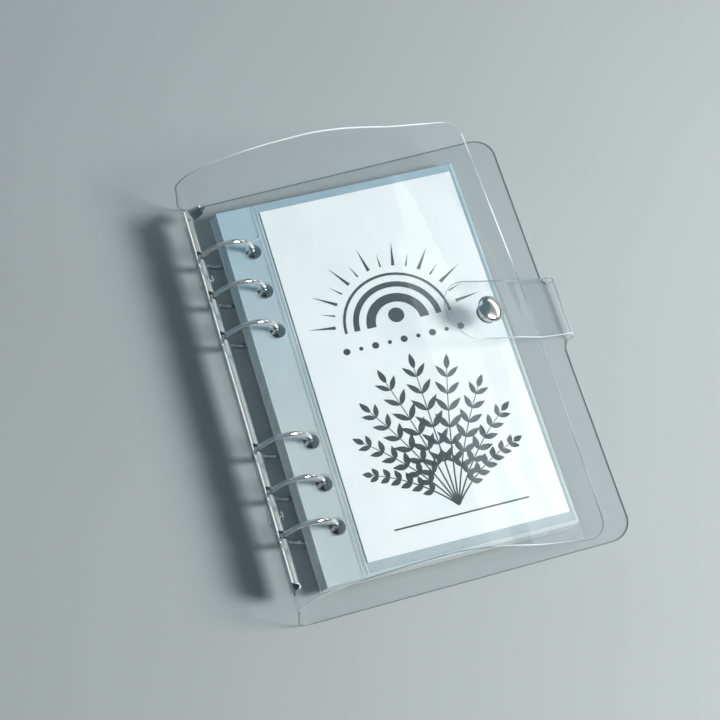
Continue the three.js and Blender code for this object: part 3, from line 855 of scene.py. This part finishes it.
    def front_point(self, place: Array, y: Array) -> Array:
        """Points of the front cover's middle surface.

        Place runs from 0 at the spine to 1 at the right edge. The height rises to the crest and falls to the
        edge by the shares in rise and fall, joined by a smooth curve.

        Args:
            place: the share of the way across.
            y: the height on the cover, of the same shape.

        Returns:
            The points.
        """
        crest, edge, reach = self.section(y)
        start_x, start_z = BOOK.sheet / 2, BOOK.spine_top + 0.3
        knots = np.array([p for p, _ in self.rise] + [p for p, _ in self.fall])
        up = np.array([r for _, r in self.rise] + [1.0] * len(self.fall))
        down = np.array([0.0] * (len(self.rise) + 1) + [f for _, f in self.fall[1:]])
        rising = self.smooth_table(knots, up, place)
        falling = self.smooth_table(knots, down, place)
        z = start_z + rising * (crest - start_z) - falling * (crest - edge)
        x = start_x + place * (reach - start_x)
        return xyz(x, y, z)

    @staticmethod
    def smooth_table(knots: Array, values: Array, place: Array) -> Array:
        """Reads a table by a monotone cubic: slopes are the harmonic means of the stretches on either side."""
        width = np.diff(knots)
        slope = np.diff(values) / width
        product = slope[:-1] * slope[1:]
        inner = np.where(product > 0, 2 * product / np.where(product > 0, slope[:-1] + slope[1:], 1), 0)
        tangent = np.concatenate([[slope[0]], inner, [slope[-1]]])
        k = np.clip(np.searchsorted(knots, place, side="right") - 1, 0, len(knots) - 2)
        t = (place - knots[k]) / width[k]
        return ((2 * t**3 - 3 * t**2 + 1) * values[k] + (t**3 - 2 * t**2 + t) * width[k] * tangent[k]
                + (-2 * t**3 + 3 * t**2) * values[k + 1] + (t**3 - t**2) * width[k] * tangent[k + 1])

    def front(self) -> bpy.types.Object:
        """The arched front cover, which bends from the spine."""
        reach = BOOK.width - self.short[1]
        corner = BOOK.corner / reach
        near = np.concatenate([
            1 - corner * (1 - np.sin(np.linspace(0, np.pi / 2, 14)))[:-1], [1 - self.rim / reach, 1.0]])
        place = np.concatenate([np.linspace(0, 0.12, 26)[:-1], np.linspace(0.12, 1 - corner, 64)[:-1], near])
        place = np.sort(place)
        half = BOOK.height / 2 - self.corner_cut((1 - place) * reach)
        y = self.spread_across(half, 72)
        across = np.broadcast_to(place[:, None], y.shape)
        full = self.spread_across(np.full(len(place), BOOK.height / 2), 72)
        points = self.front_point(across, full)
        points[..., 1] = y
        join = np.array([BOOK.sheet / 2, BOOK.spine_top])
        ease = np.clip(place / self.join_share, 0, 1)[:, None]
        points[..., 0] = join[0] + (points[..., 0] - join[0]) * ease
        points[..., 2] = np.where(place[:, None] == 0, join[1], points[..., 2])
        vertices, quads, finish = shell(points, BOOK.sheet, None, self.outer_trim(*y.shape))
        self.plain_ends(vertices, quads, finish, (
            lambda p: (p[:, 0] < 1) & (p[:, 2] < BOOK.spine_top + 0.05),))
        piece = make_piece("cover_front_sheet", vertices, quads, (self.sheet, self.edge_bright), finish)
        return across_joint(piece, "front_cover")

    def snap_frame(self) -> tuple[Array, Array, Array]:
        """Where the snap sits on the cover.

        Returns:
            The seat's centre on the cover's middle surface, the axis out of it, and the way down the slope.
        """
        flat = self.front_point(np.array([0.76, 0.93]), np.full(2, self.strap_middle))
        down = (flat[1] - flat[0]) / np.linalg.norm(flat[1] - flat[0])
        axis = np.array([-down[2], 0.0, down[0]])
        x = BOOK.width - self.snap_from_edge
        seat = flat[0] + down * (x - flat[0][0]) / down[0]
        return seat, axis, down

    def strap(self) -> bpy.types.Object:
        """The strap: from the tongue's root round to the front cover, past the snap to its round tip.

        Its middle line is the rest of the wrap's circle, then a smooth run down to the cover's edge and along
        the slope. Past the shoulder its width follows a half circle.
        """
        seat, axis, down = self.snap_frame()
        centre = np.array([BOOK.width, BOOK.sheet / 2 + self.wrap_radius])
        turn = np.linspace(0, np.pi * 0.56, 7)
        wrap = np.column_stack([centre[0] + self.wrap_radius * np.cos(turn),
                                centre[1] + self.wrap_radius * np.sin(turn)])
        edge = self.front_point(np.array([1.0]), np.array([self.strap_middle]))[0]
        lifted = seat + axis * self.strap_lift
        bend_end = lifted + down * (self.strap_straight - lifted[0]) / down[0]
        tip = lifted + down * (BOOK.width - self.strap_reach - lifted[0]) / down[0]
        tip = tip + np.array([0.0, 0.0, 0.5])
        line = np.vstack([wrap, [[edge[0] + 0.3, edge[2] + 1.2]], [[bend_end[0], bend_end[2]]],
                          [[lifted[0], lifted[2]]], [[tip[0], tip[2]]]])
        path = along(line, 70)
        length = run_length(path)
        half_width = self.strap_width / 2
        ends = length[-1] - half_width * (1 - np.sin(np.linspace(0, np.pi / 2, 22)))
        wanted = np.concatenate([length[length < length[-1] - half_width], ends[:-1], [length[-1] - 0.02]])
        path = np.stack([np.interp(wanted, length, path[:, k]) for k in range(2)], axis=1)
        near = np.clip(half_width - (length[-1] - wanted), 0, None)
        half = np.sqrt(np.clip(half_width**2 - near**2, 0.3, None))
        y = self.spread_across(half, 24)
        crown = 0.35 * (1 - (y / half_width) ** 2) * np.clip(wanted / 12 - 0.4, 0, 1)[:, None]
        points = xyz(path[:, :1] + axis[0] * crown * 0.4, y + self.strap_middle, path[:, 1:] + crown * 0.2)
        vertices, quads, finish = shell(points, BOOK.sheet, None, self.outer_trim(*y.shape))
        self.plain_ends(vertices, quads, finish, (lambda p: p[:, 2] < centre[1] + 0.02,))
        piece = make_piece("cover_strap_sheet", vertices, quads, (self.sheet, self.edge_bright), finish)
        return across_joint(piece, "closing_strap")


# Snap, rings and the rest of the metal


@dataclass
class Snap:
    """The domed cap on the strap.

    Args:
        finish: the plated finish.
        cover: the cover that it sits on.
        radius: of the cap.
        dome: its height.
        stack: the height of the socket between the front cover and the strap.
        lip: the radius of the rolled rim.
    """

    finish: bpy.types.Material
    cover: Cover
    radius: float = 6.0
    dome: float = 2.5
    stack: float = 2.7
    lip: float = 0.4

    def cap(self) -> bpy.types.Object:
        """The cap: a rolled rim of 0.8 mm, then a dome that is a quarter of an ellipse, over a short post."""
        seat, axis, _ = self.cover.snap_frame()
        origin = seat + axis * (BOOK.sheet / 2 + self.stack + BOOK.sheet)
        roll = np.linspace(-np.pi / 2, 0, 9)
        rim = np.column_stack([self.radius - self.lip + self.lip * np.cos(roll),
                               self.lip + self.lip * np.sin(roll)])
        arc = np.linspace(0, np.pi / 2, 25)[1:]
        dome = np.column_stack([self.radius * np.cos(arc), self.lip + (self.dome - self.lip) * np.sin(arc)])
        dome[-1, 0] = 0.0
        post = np.array([[0, -1.3], [1.35, -1.3], [1.4, -1.2], [1.4, 0]])
        vertices, quads = turned(np.vstack([post, rim, dome]), 72, origin, axis)
        piece = make_piece("snap_dome_cap", vertices, quads, (self.finish,), smooth_angle=50)
        return on_body(piece, Body.STRAP, "chrome", "snap_cap")


@dataclass
class RingMetal:
    """The arched plate, its rings, rivets and lever.

    Args:
        chrome: the bright finish.
        length, width, depth, wall: the plate's sizes.
        ring_radius, ring_centre, wire: the rings' middle line, its x, and the wire's radius.
        foot, arc_end: where a half ring meets its blade, and the angle at which its arc ends.
        blade_front: the blades' front face.
        notch: the inner and outer distance of a notch from the seam, and its half width.
        rivet_y: the rivets' distance from the middle.
        pin: the x and y of the lever's pin.
        lever_height, lever_lean, lever_sheet: the paddle's length, its lean and its thickness.
    """

    chrome: bpy.types.Material
    length: float = 168.0
    width: float = 14.4
    depth: float = 4.1
    wall: float = 0.7
    ring_radius: float = 10.6
    ring_centre: float = 14.2
    wire: float = 1.1
    foot: float = 4.1
    arc_end: float = math.radians(140)
    blade_front: float = 1.7
    notch: tuple = (2.7, 6.5, 1.7)
    rivet_y: float = 54.0
    pin: tuple = (2.2352, 80.5)
    lever_height: float = 9.0
    lever_lean: float = math.radians(22)
    lever_sheet: float = 0.9

    def plate(self) -> bpy.types.Object:
        """The plate: a circle's arc across, straight along, with its notches left out."""
        radius = ((self.width / 2) ** 2 + self.depth**2) / (2 * self.depth)
        centre = BOOK.sheet + self.depth - radius
        middle_radius = radius - self.wall / 2
        end = math.acos((BOOK.sheet + 0.12 - centre) / middle_radius)
        near, far = (math.asin(z / middle_radius) for z in self.notch[:2])
        angles = np.unique(np.concatenate([
            np.linspace(-end, -far, 4), np.linspace(-far, -near, 7), np.linspace(-near, near, 13),
            np.linspace(near, far, 7), np.linspace(far, end, 4)]).round(9))
        stops = [-self.length / 2, self.length / 2]
        for y in BOOK.rings:
            stops += [y - self.notch[2], y + self.notch[2]]
        stops = np.array(sorted(stops))
        ys = np.unique(np.concatenate([stops, np.linspace(-self.length / 2, self.length / 2, 57)]).round(6))
        grid_a, grid_y = np.meshgrid(angles, ys, indexing="ij")
        points = xyz(centre + middle_radius * np.cos(grid_a), grid_y,
                     BOOK.ring_middle + middle_radius * np.sin(grid_a))
        mid_a = np.abs((angles[:-1] + angles[1:]) / 2)[:, None]
        mid_y = ((ys[:-1] + ys[1:]) / 2)[None, :]
        in_notch = np.zeros((len(angles) - 1, len(ys) - 1), bool)
        for y in BOOK.rings:
            in_notch |= (mid_a > near) & (mid_a < far) & (np.abs(mid_y - y) < self.notch[2])
        points = points[::-1]
        vertices, quads, _ = shell(points, self.wall, ~in_notch[::-1])
        piece = make_piece("ring_metal_plate", vertices, quads, (self.chrome,))
        return on_body(piece, Body.BINDER, "chrome", "ring_plate")

    def half_ring(self, side: Side, number: int) -> bpy.types.Object:
        """One half ring: an arc from the seam to the shoulder, then a leg that runs down to the blade.

        Args:
            side: which half.
            number: 1 at the top of the book.
        """
        seam = 0.15 / self.ring_radius
        angle = np.linspace(seam, self.arc_end, 46)
        arc = np.column_stack([self.ring_centre + self.ring_radius * np.cos(angle),
                               self.ring_radius * np.sin(angle)])
        leg_end = np.array([[self.blade_front + self.wire, self.foot], [self.blade_front, self.foot]])
        corner = along(np.vstack([arc[-1], leg_end]), 14, ease=False)[1:]
        flat = np.vstack([arc, corner])
        path = np.column_stack([flat[:, 0], np.full(len(flat), BOOK.rings[number - 1]),
                                BOOK.ring_middle + side.value * flat[:, 1]])
        vertices, quads = tube(*capped(path, self.wire), sides=28)
        body, label = (Body.UPPER, "upper") if side is Side.UPPER else (Body.LOWER, "lower")
        quads = facing_out(vertices, quads)
        piece = make_piece(f"half_ring_{label}_{number}", vertices, quads, (self.chrome,), smooth_angle=50)
        return on_body(piece, body, "chrome", f"{label}_ring_{number}")

    def rivet(self, number: int) -> bpy.types.Object:
        """A rivet, 1 the upper: a wide low head outside the spine, a shank, a dished head on the plate."""
        y = self.rivet_y if number == 1 else -self.rivet_y
        crest = BOOK.sheet + self.depth + 0.1
        back = [[0, -0.8], [2.2, -0.78], [3.2, -0.55], [3.6, -0.1], [3.6, 0], [1.3, 0]]
        head = [[1.3, crest], [2.3, crest], [2.3, crest + 0.3], [1.95, crest + 0.7], [1.5, crest + 0.8],
                [0.95, crest + 0.55], [0.5, crest + 0.28], [0, crest + 0.22]]
        origin, outwards = np.array([0, y, BOOK.ring_middle]), np.array([1, 0, 0])
        vertices, quads = turned(np.array(back + head), 48, origin, outwards)
        piece = make_piece(f"spine_rivet_{number}", vertices, quads, (self.chrome,), smooth_angle=40)
        return on_body(piece, Body.BINDER, "chrome", f"rivet_{number}")

    def lever(self) -> bpy.types.Object:
        """The opening lever: a narrow neck that leaves the plate's end and widens into a round leaning paddle.

        Its middle line runs along the plate, turns up through a small bend and leans out past the end. Its
        width grows from the neck's to the paddle's and closes in a half ellipse.
        """
        pin_x, pin_y = self.pin
        end = self.length / 2 + 0.3
        rise = np.array([math.cos(self.lever_lean), math.sin(self.lever_lean)])
        base = np.array([pin_x + 0.3, end + 0.65])
        line = along([[pin_x, pin_y - 0.9], [pin_x, pin_y + 1.5], [pin_x + 0.02, end - 0.2], base + rise * 0.7,
                      base + rise * self.lever_height * 0.5,
                      base + rise * (self.lever_height - 0.9) + np.array([0.0, -0.25])], 60)
        length = run_length(line)
        total = length[-1]
        grow = np.clip((length - 4.6) / 1.6, 0, 1)
        half = 2.0 + 2.5 * grow * grow * (3 - 2 * grow)
        round_off = np.clip((length - (total - 4.2)) / 4.2, 0, 1)
        half = half * np.sqrt(np.clip(1 - round_off**2, 0.002, 1))
        share = np.linspace(-1, 1, 26)
        z = half[:, None] * share[None]
        dish = 0.35 * (share**2)[None, :] * np.clip((length - 5) / 3, 0, 1)[:, None]
        points = xyz(line[:, :1] + dish * 0.2, line[:, 1:] - dish, z + BOOK.ring_middle)
        vertices, quads, _ = shell(points, self.lever_sheet)
        quads = facing_out(vertices, quads)
        piece = make_piece("opening_lever_paddle", vertices, quads, (self.chrome,), smooth_angle=50)
        return on_body(piece, Body.LEVER, "chrome", "opening_lever")

    def build(self) -> None:
        """Makes all of it."""
        self.plate()
        for side in Side:
            for number in range(1, len(BOOK.rings) + 1):
                self.half_ring(side, number)
        for number in (1, 2):
            self.rivet(number)
        self.lever()


# Envelopes and the card's print


@dataclass
class EnvelopeStack:
    """The trim of the film envelopes, whose own solids stay, and the print on the top card.

    Args:
        weld: the finish of welds and folds.
        rim: the finish of the punched holes' rims.
        ink: the print's finish.
        count, thickness, gap, width, height: of the envelopes.
        lift, shift: how high the lowest one lies at the rings, and the stack's y.
        pocket: where the pocket starts, from the envelope's left edge.
        card_thickness, card_from_weld, card_from_bottom: the card's size and place.
        hole_from_binding, hole_slack, hole_radius: the punched holes, and their play on the rings.
        ring_centre, ring_radius: the rings that the envelopes hang on.
        floor_gap: the room between the back cover and the stack's right edge.
    """

    weld: bpy.types.Material
    rim: bpy.types.Material
    ink: bpy.types.Material
    count: int = 6
    thickness: float = 0.9
    gap: float = 0.1
    lift: float = 6.2
    shift: float = -0.8
    width: float = 105.5
    height: float = 171.5
    pocket: float = 17.0
    card_thickness: float = 0.24
    card_from_weld: float = 0.8
    card_from_bottom: float = 5.55
    hole_from_binding: float = 10.6
    hole_slack: float = 1.1
    hole_radius: float = 3.5
    ring_centre: float = 14.2
    ring_radius: float = 10.6
    floor_gap: float = 0.3
    tilt: float = field(init=False)

    def __post_init__(self) -> None:
        """Works out the stack's slope as the frame does."""
        right = self.ring_centre + self.ring_radius + self.width - self.hole_from_binding
        self.tilt = math.atan2(self.lift - BOOK.sheet - self.floor_gap,
                               right - self.ring_centre - self.ring_radius / 2)

    def placed(self, points: Array, layer: int) -> Array:
        """Moves points modelled flat, with the holes' line at x = 0, to their layer, 0 for the lowest."""
        low = self.lift + layer * (self.thickness + self.gap)
        drop = BOOK.ring_middle - low - self.thickness / 2
        wire = self.ring_centre + math.sqrt(self.ring_radius**2 - drop**2)
        cos, sin = math.cos(self.tilt), math.sin(self.tilt)
        x, y, z = points[..., 0], points[..., 1], points[..., 2]
        return xyz(x * cos + z * sin + wire + self.hole_slack, y + self.shift, z * cos - x * sin + low)

    def bead(self, corners: Sequence[Sequence[float]], radius: float, layer: int) -> tuple[Array, Array]:
        """A low round bead along a path on the envelope's top face.

        Args:
            corners: the path's x and y.
            radius: of the bead.
            layer: the envelope it lies on.

        Returns:
            Vertices and quads.
        """
        line = along(corners, max(12, 8 * len(corners)), ease=len(corners) > 2)
        path = np.column_stack([line, np.full(len(line), self.thickness + radius * 0.55)])
        vertices, quads = tube(*capped(path, radius), sides=10)
        vertices = self.placed(vertices, layer)
        return vertices, facing_out(vertices, quads)

    def welds(self) -> bpy.types.Object:
        """Welded seams on the top envelope: a double line beside the card, a hem below and at the right."""
        half = self.height / 2
        right = self.width - self.hole_from_binding
        fold = self.pocket - self.hole_from_binding
        top = self.count - 1
        runs = [
            ([[fold - 0.2, -half + 0.6], [fold - 0.2, half - 0.5]], 0.16),
            ([[fold - 1.6, -half + 0.8], [fold - 1.6, half - 0.7]], 0.12),
            ([[fold - 0.2, -half + 1.2], [right - 1.1, -half + 1.2]], 0.14),
            ([[right - 1.0, -half + 1.0], [right - 1.0, half - 0.6]], 0.13),
            ([[-9.6, half - 16.0], [-4.0, half - 16.9], [3.0, half - 16.4], [fold - 2.0, half - 15.2]], 0.12),
        ]
        vertices, faces = together([self.bead(path, radius, top) for path, radius in runs])
        # The weld finish is painted highlight and painted shade in runs along the seam
        piece = make_piece("envelope_weld_lines", vertices, faces, (self.weld,), smooth_angle=60)
        return on_body(piece, Body.BINDER, "envelope_film")

    def hole_rims(self) -> bpy.types.Object:
        """A low round rim about each punched hole of the top envelope: a ring of wire lying on the film."""
        angle = np.linspace(0, 2 * np.pi, 41)[:-1]
        section = np.linspace(0, 2 * np.pi, 9)[:-1]
        index = np.arange(len(angle) * len(section)).reshape(len(angle), len(section))
        next_round, next_side = np.roll(index, -1, axis=0), np.roll(index, -1, axis=1)
        both = np.roll(next_round, -1, axis=1)
        quads = np.stack([index, next_round, both, next_side], axis=-1).reshape(-1, 4)
        parts = []
        for y in BOOK.rings:
            radius = self.hole_radius + 0.3 + 0.16 * np.cos(section)[None, :]
            points = xyz(radius * np.cos(angle)[:, None], radius * np.sin(angle)[:, None] + y - self.shift,
                         self.thickness + 0.08 + 0.12 * np.sin(section)[None, :])
            parts.append((self.placed(points.reshape(-1, 3), self.count - 1), quads))
        vertices, faces = together(parts)
        # The rims' grey finish is painted highlight and painted shade of the holes' cut edges
        piece = make_piece("envelope_hole_rims", vertices, faces, (self.rim,), smooth_angle=60)
        return on_body(piece, Body.BINDER, "envelope_film")

    def print_shapes(self) -> list[Array]:
        """The outlines of the print, as x and y on the card from its lower left corner, in millimetres.

        A sun of nested arcs with rays stands over a spray of plain leaves, with a row of dots between.

        Returns:
            One closed outline per shape.
        """
        shapes: list[Array] = []
        middle_x = 42.5
        centre = np.array([middle_x, 98.0])
        for inner, outer in ((9.5, 13.5), (16.5, 19.0), (22.0, 23.2)):
            shapes.append(self.arch(centre, inner, outer))
        for k, angle in enumerate(np.radians(np.linspace(8, 172, 15))):
            reach = 38.0 if k % 2 == 0 else 33.0
            shapes.append(self.ray(centre, angle, 26.5, reach, 1.5 if k % 2 == 0 else 0.8))
        shapes.append(self.disc(centre + [0, 3.4], 3.4))
        for k in range(9):
            shapes.append(self.disc(np.array([middle_x + (k - 4) * 6.2, 90.0]), 1.5 if k % 2 == 0 else 0.9))
        root = np.array([middle_x, 14.0])
        for lean, length in ((0, 62), (-16, 60), (16, 60), (-33, 53), (33, 53), (-51, 46), (51, 46),
                             (-70, 37), (70, 37)):
            shapes.extend(self.sprig(root, math.radians(lean), length))
        shapes.append(self.bar(np.array([14.0, 10.2]), np.array([71.0, 10.2]), 0.7))
        return shapes

    @staticmethod
    def arch(centre: Array, inner: float, outer: float) -> Array:
        """Half a ring, open downwards."""
        turn = np.linspace(0, np.pi, 49)
        rim = np.column_stack([np.cos(turn), np.sin(turn)])
        return np.vstack([centre + outer * rim, (centre + inner * rim)[::-1]])

    @staticmethod
    def ray(centre: Array, angle: float, start: float, end: float, width: float) -> Array:
        """A ray that is widest at its start and comes to a point."""
        ahead = np.array([math.cos(angle), math.sin(angle)])
        side = np.array([-ahead[1], ahead[0]])
        return np.array([centre + ahead * start - side * width / 2, centre + ahead * end,
                         centre + ahead * start + side * width / 2])

    @staticmethod
    def disc(centre: Array, radius: float) -> Array:
        """A circle."""
        turn = np.linspace(0, 2 * np.pi, 33)[:-1]
        return centre + radius * np.column_stack([np.cos(turn), np.sin(turn)])

    @staticmethod
    def bar(start: Array, end: Array, width: float) -> Array:
        """A straight line of even width."""
        ahead = (end - start) / np.linalg.norm(end - start)
        side = np.array([-ahead[1], ahead[0]]) * width / 2
        return np.array([start - side, end - side, end + side, start + side])

    @staticmethod
    def leaf(base: Array, angle: float, length: float, width: float) -> Array:
        """A plain leaf: two arcs from base to tip, each side's half width a sine of the way along."""
        t = np.linspace(0, 1, 13)
        ahead = np.array([math.cos(angle), math.sin(angle)])
        side = np.array([-ahead[1], ahead[0]])
        middle = base + t[:, None] * ahead * length
        half = (width / 2 * np.sin(np.pi * t ** 0.8))[:, None] * side
        return np.vstack([middle - half, (middle + half)[-2:0:-1]])

    def sprig(self, root: Array, lean: float, length: float) -> list[Array]:
        """A branch's outlines: a bowed stem that thins, with pairs of leaves and one at its tip."""
        t = np.linspace(0, 1, 17)
        turn = lean * (0.55 + 0.45 * t)
        step = length / 16 * np.column_stack([np.sin(turn), np.cos(turn)])
        stem = root + np.vstack([[0.0, 0.0], np.cumsum(step[1:], axis=0)])
        ahead = np.gradient(stem, axis=0)
        ahead /= np.linalg.norm(ahead, axis=1, keepdims=True)
        side = np.column_stack([-ahead[:, 1], ahead[:, 0]])
        half = (0.38 - 0.22 * t)[:, None] * side
        shapes = [np.vstack([stem - half, (stem + half)[::-1]])]
        for k in range(5, 16, 2):
            grow = 1 - 0.45 * abs(t[k] - 0.55)
            direction = math.atan2(ahead[k, 1], ahead[k, 0])
            for way in (1, -1):
                shapes.append(self.leaf(stem[k] + side[k] * 0.2 * way, direction + way * 0.72,
                                        8.4 * grow * length / 60, 2.7 * grow))
        shapes.append(self.leaf(stem[-1], math.atan2(ahead[-1, 1], ahead[-1, 0]), 7.0 * length / 60, 2.5))
        return shapes

    def card_print(self) -> bpy.types.Object:
        """The print, as thin flat shapes on the top card."""
        left = self.pocket - self.hole_from_binding + self.card_from_weld
        bottom = -self.height / 2 + self.card_from_bottom
        face = (self.thickness + self.card_thickness) / 2
        parts = []
        for outline in self.print_shapes():
            flat = outline + np.array([left, bottom])
            vertices, faces = slab(flat, np.full(len(flat), face + 0.006), 0.018)
            parts.append((self.placed(vertices, self.count - 1), faces))
        vertices, faces = together(parts)
        piece = make_piece("card_print", vertices, faces, (self.ink,), smooth_angle=30)
        return on_body(piece, Body.BINDER, "card_stock")

    def build(self) -> None:
        """Makes the trim and the print."""
        self.welds()
        self.hole_rims()
        self.card_print()


# The room


@dataclass
class Studio:
    """Floor, lights and camera.

    Args:
        target: the book point that the camera looks at.
        azimuth, elevation, roll: its angles in degrees.
        distance: from the target, in millimetres.
        lens: focal length on a 36 mm film.
        room_strength: of the room's light.
        floor_reach, floor_drop: the floor's half width and its depth under the cover, in metres.
    """

    target: tuple = (56.2, 8.5, 0.0)
    azimuth: float = -20.53
    elevation: float = 65.85
    roll: float = 4.51
    distance: float = 846.96
    lens: float = 101.42
    room_strength: float = 0.38
    floor_reach: float = 6.0
    floor_drop: float = 0.00005

    def camera(self) -> None:
        """Places the camera by its angles about the target."""
        a, e, r = (math.radians(v) for v in (self.azimuth, self.elevation, self.roll))
        back = Vector((math.sin(a) * math.cos(e), -math.cos(a) * math.cos(e), math.sin(e)))
        right = Vector((math.cos(a), math.sin(a), 0.0))
        up = back.cross(right)
        turned_right = math.cos(r) * right + math.sin(r) * up
        turned_up = -math.sin(r) * right + math.cos(r) * up
        place = Vector(BOOK.metres(self.target)) + back * self.distance * MM
        data = bpy.data.cameras.new("camera")
        data.lens, data.sensor_width, data.clip_start = self.lens, 36.0, 0.01
        camera = bpy.data.objects.new("camera", data)
        camera.matrix_world = Matrix((
            (turned_right.x, turned_up.x, back.x, place.x),
            (turned_right.y, turned_up.y, back.y, place.y),
            (turned_right.z, turned_up.z, back.z, place.z),
            (0, 0, 0, 1)))
        bpy.context.scene.collection.objects.link(camera)
        bpy.context.scene.camera = camera

    def lamp(self, name: str, place: Sequence[float], size: tuple, power: float, colour: tuple) -> None:
        """A soft rectangular lamp that faces the book.

        Args:
            name: the lamp's name.
            place: where it stands, in metres.
            size: its width and height, in metres.
            power: in watts.
            colour: of its light.
        """
        data = bpy.data.lights.new(name, "AREA")
        data.shape, data.energy, data.color = "RECTANGLE", power, colour
        data.size, data.size_y = size
        lamp = bpy.data.objects.new(name, data)
        lamp.location = place
        lamp.rotation_euler = (Vector((0, 0, 0.02)) - Vector(place)).to_track_quat("-Z", "Y").to_euler()
        bpy.context.scene.collection.objects.link(lamp)

    def floor(self, finish: bpy.types.Material) -> None:
        """A wide flat floor just under the back cover."""
        mesh = bpy.data.meshes.new("floor")
        reach = self.floor_reach
        mesh.from_pydata([(-reach, -reach, 0), (reach, -reach, 0), (reach, reach, 0), (-reach, reach, 0)], [],
                         [(0, 1, 2, 3)])
        mesh.transform(Matrix.Translation((0, 0, -self.floor_drop)))
        mesh.materials.append(finish)
        made = bpy.data.objects.new("floor", mesh)
        bpy.context.scene.collection.objects.link(made)

    def build(self) -> None:
        """Makes the room."""
        scene = bpy.context.scene
        scene.view_settings.view_transform = "Standard"
        scene.cycles.transparent_max_bounces = TRANSPARENT_FACES
        self.camera()
        self.floor(Tabletop().build())
        self.lamp("key", (0.66, -0.36, 0.72), (0.26, 0.34), 15.5, (1.0, 0.99, 0.965))
        self.lamp("window", (-0.1, 1.15, 0.95), (1.3, 0.7), 1.8, (0.86, 0.94, 1.0))
        self.lamp("side", (0.95, 0.25, 0.30), (1.2, 0.25), 1.2, (1.0, 0.99, 0.97))
        self.room()

    def room(self) -> None:
        """The room's light: window blue from far above the spine, pale towards the opening side, dim behind.

        The colour follows one number, the direction's share along a fixed axis.
        """
        world = bpy.data.worlds.new("room")
        bpy.context.scene.world = world
        world.use_nodes = True
        tree = world.node_tree
        tree.nodes.clear()
        kinds = ("TexCoord", "VectorMath", "Math", "ValToRGB", "Background", "OutputWorld")
        place, share, centred, ramp, light, output = (tree.nodes.new(f"ShaderNode{kind}") for kind in kinds)
        share.operation = "DOT_PRODUCT"
        share.inputs[1].default_value = (-0.30, 0.31, 0.25)
        centred.inputs[1].default_value = 0.5
        stops = ((0.0, (0.03, 0.035, 0.04)), (0.27, (0.05, 0.055, 0.06)), (0.33, (0.95, 0.94, 0.90)),
                 (0.50, (0.90, 0.90, 0.87)), (0.56, (0.34, 0.50, 0.58)), (1.0, (0.30, 0.46, 0.55)))
        elements = ramp.color_ramp.elements
        elements[0].position, elements[1].position = stops[0][0], stops[-1][0]
        for position, _ in stops[1:-1]:
            elements.new(position)
        for element, (position, colour) in zip(elements, stops):
            element.position = position
            element.color = (*colour, 1.0)
        light.inputs["Strength"].default_value = self.room_strength
        for source, target in (
                (place.outputs["Generated"], share.inputs[0]),
                (share.outputs["Value"], centred.inputs[0]),
                (centred.outputs["Value"], ramp.inputs["Fac"]),
                (ramp.outputs["Color"], light.inputs["Color"]),
                (light.outputs["Background"], output.inputs["Surface"])):
            tree.links.new(source, target)


def dress(node: str, finish: bpy.types.Material) -> None:
    """Puts a finish on a node of the frame that stays as it is."""
    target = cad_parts[node]
    target.data.materials.clear()
    target.data.materials.append(finish)
    log.info("%s: kept with %s", node, finish.name)


def main() -> None:
    """Builds everything in order."""
    Studio().build()
    sheet = ClearSheet("clear_sheet").build()
    # Cut edges painted with highlight and shade: the first mostly painted highlight, the second mostly painted
    # shade
    bright = CutEdge("cut_edge_mostly_painted_highlight", share=0.62).build()
    dark = CutEdge("cut_edge_mostly_painted_shade", share=0.25).build()
    chrome = Plated("chrome").build()
    steel = Plated("plain_steel", (0.62, 0.64, 0.65), (0.5, 0.52, 0.53), 0.26, 0.2).build()
    # Near-black steel for the blades: painted shade, so the plate's notches look dark inside
    shaded = Plated("painted_shade_steel", (0.045, 0.05, 0.055), (0.03, 0.033, 0.036), 0.35, 0.2).build()
    # The films' cloudy layers are bluish at the top of the book and paler lower down: painted reflection of
    # the blue room, and in the stacked films also the stack's own cloudiness
    film = ClearSheet("envelope_film", (0.988, 0.994, 0.997), 0.05, 0.5, 0.03, (0.75, 0.88, 0.94), wave=0.0008,
                      rough=0.1).build()
    stacked = ClearSheet("stacked_film", facing=0.14, glancing=0.5, haze=0.8, top_haze_and_reflection=(0.58, 0.73, 0.81),
                         low_haze_and_reflection=(0.74, 0.80, 0.80), mottle=0.15, wave=0.0012, rough=0.12).build()
    # Weld lines and hole rims: painted highlight and painted shade in runs
    weld = CutEdge("weld_line", (0.62, 0.70, 0.74), (0.92, 0.96, 0.97), 0.6, 0.85).build()
    rim = CutEdge("hole_rim", (0.45, 0.52, 0.56), (0.8, 0.86, 0.89), 0.4, 0.6).build()
    card = Card("card").build()
    ink = Ink("ink").build()

    cover = Cover(sheet, bright, dark)
    cover.back()
    cover.front()
    cover.strap()
    Snap(chrome, cover).cap()
    RingMetal(chrome).build()
    stack = EnvelopeStack(weld, rim, ink)
    stack.build()

    for node in ("snap_socket", "snap_stud", "snap_eyelet", "lever_pin"):
        dress(node, steel)
    # The blades get the painted shade
    for node in ("upper_blade", "lower_blade"):
        dress(node, shaded)
    for layer in range(1, stack.count + 1):
        dress(f"envelope_{layer}", film if layer == stack.count else stacked)
        dress(f"card_{layer}", card)

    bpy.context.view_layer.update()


if __name__ == "__main__":
    main()
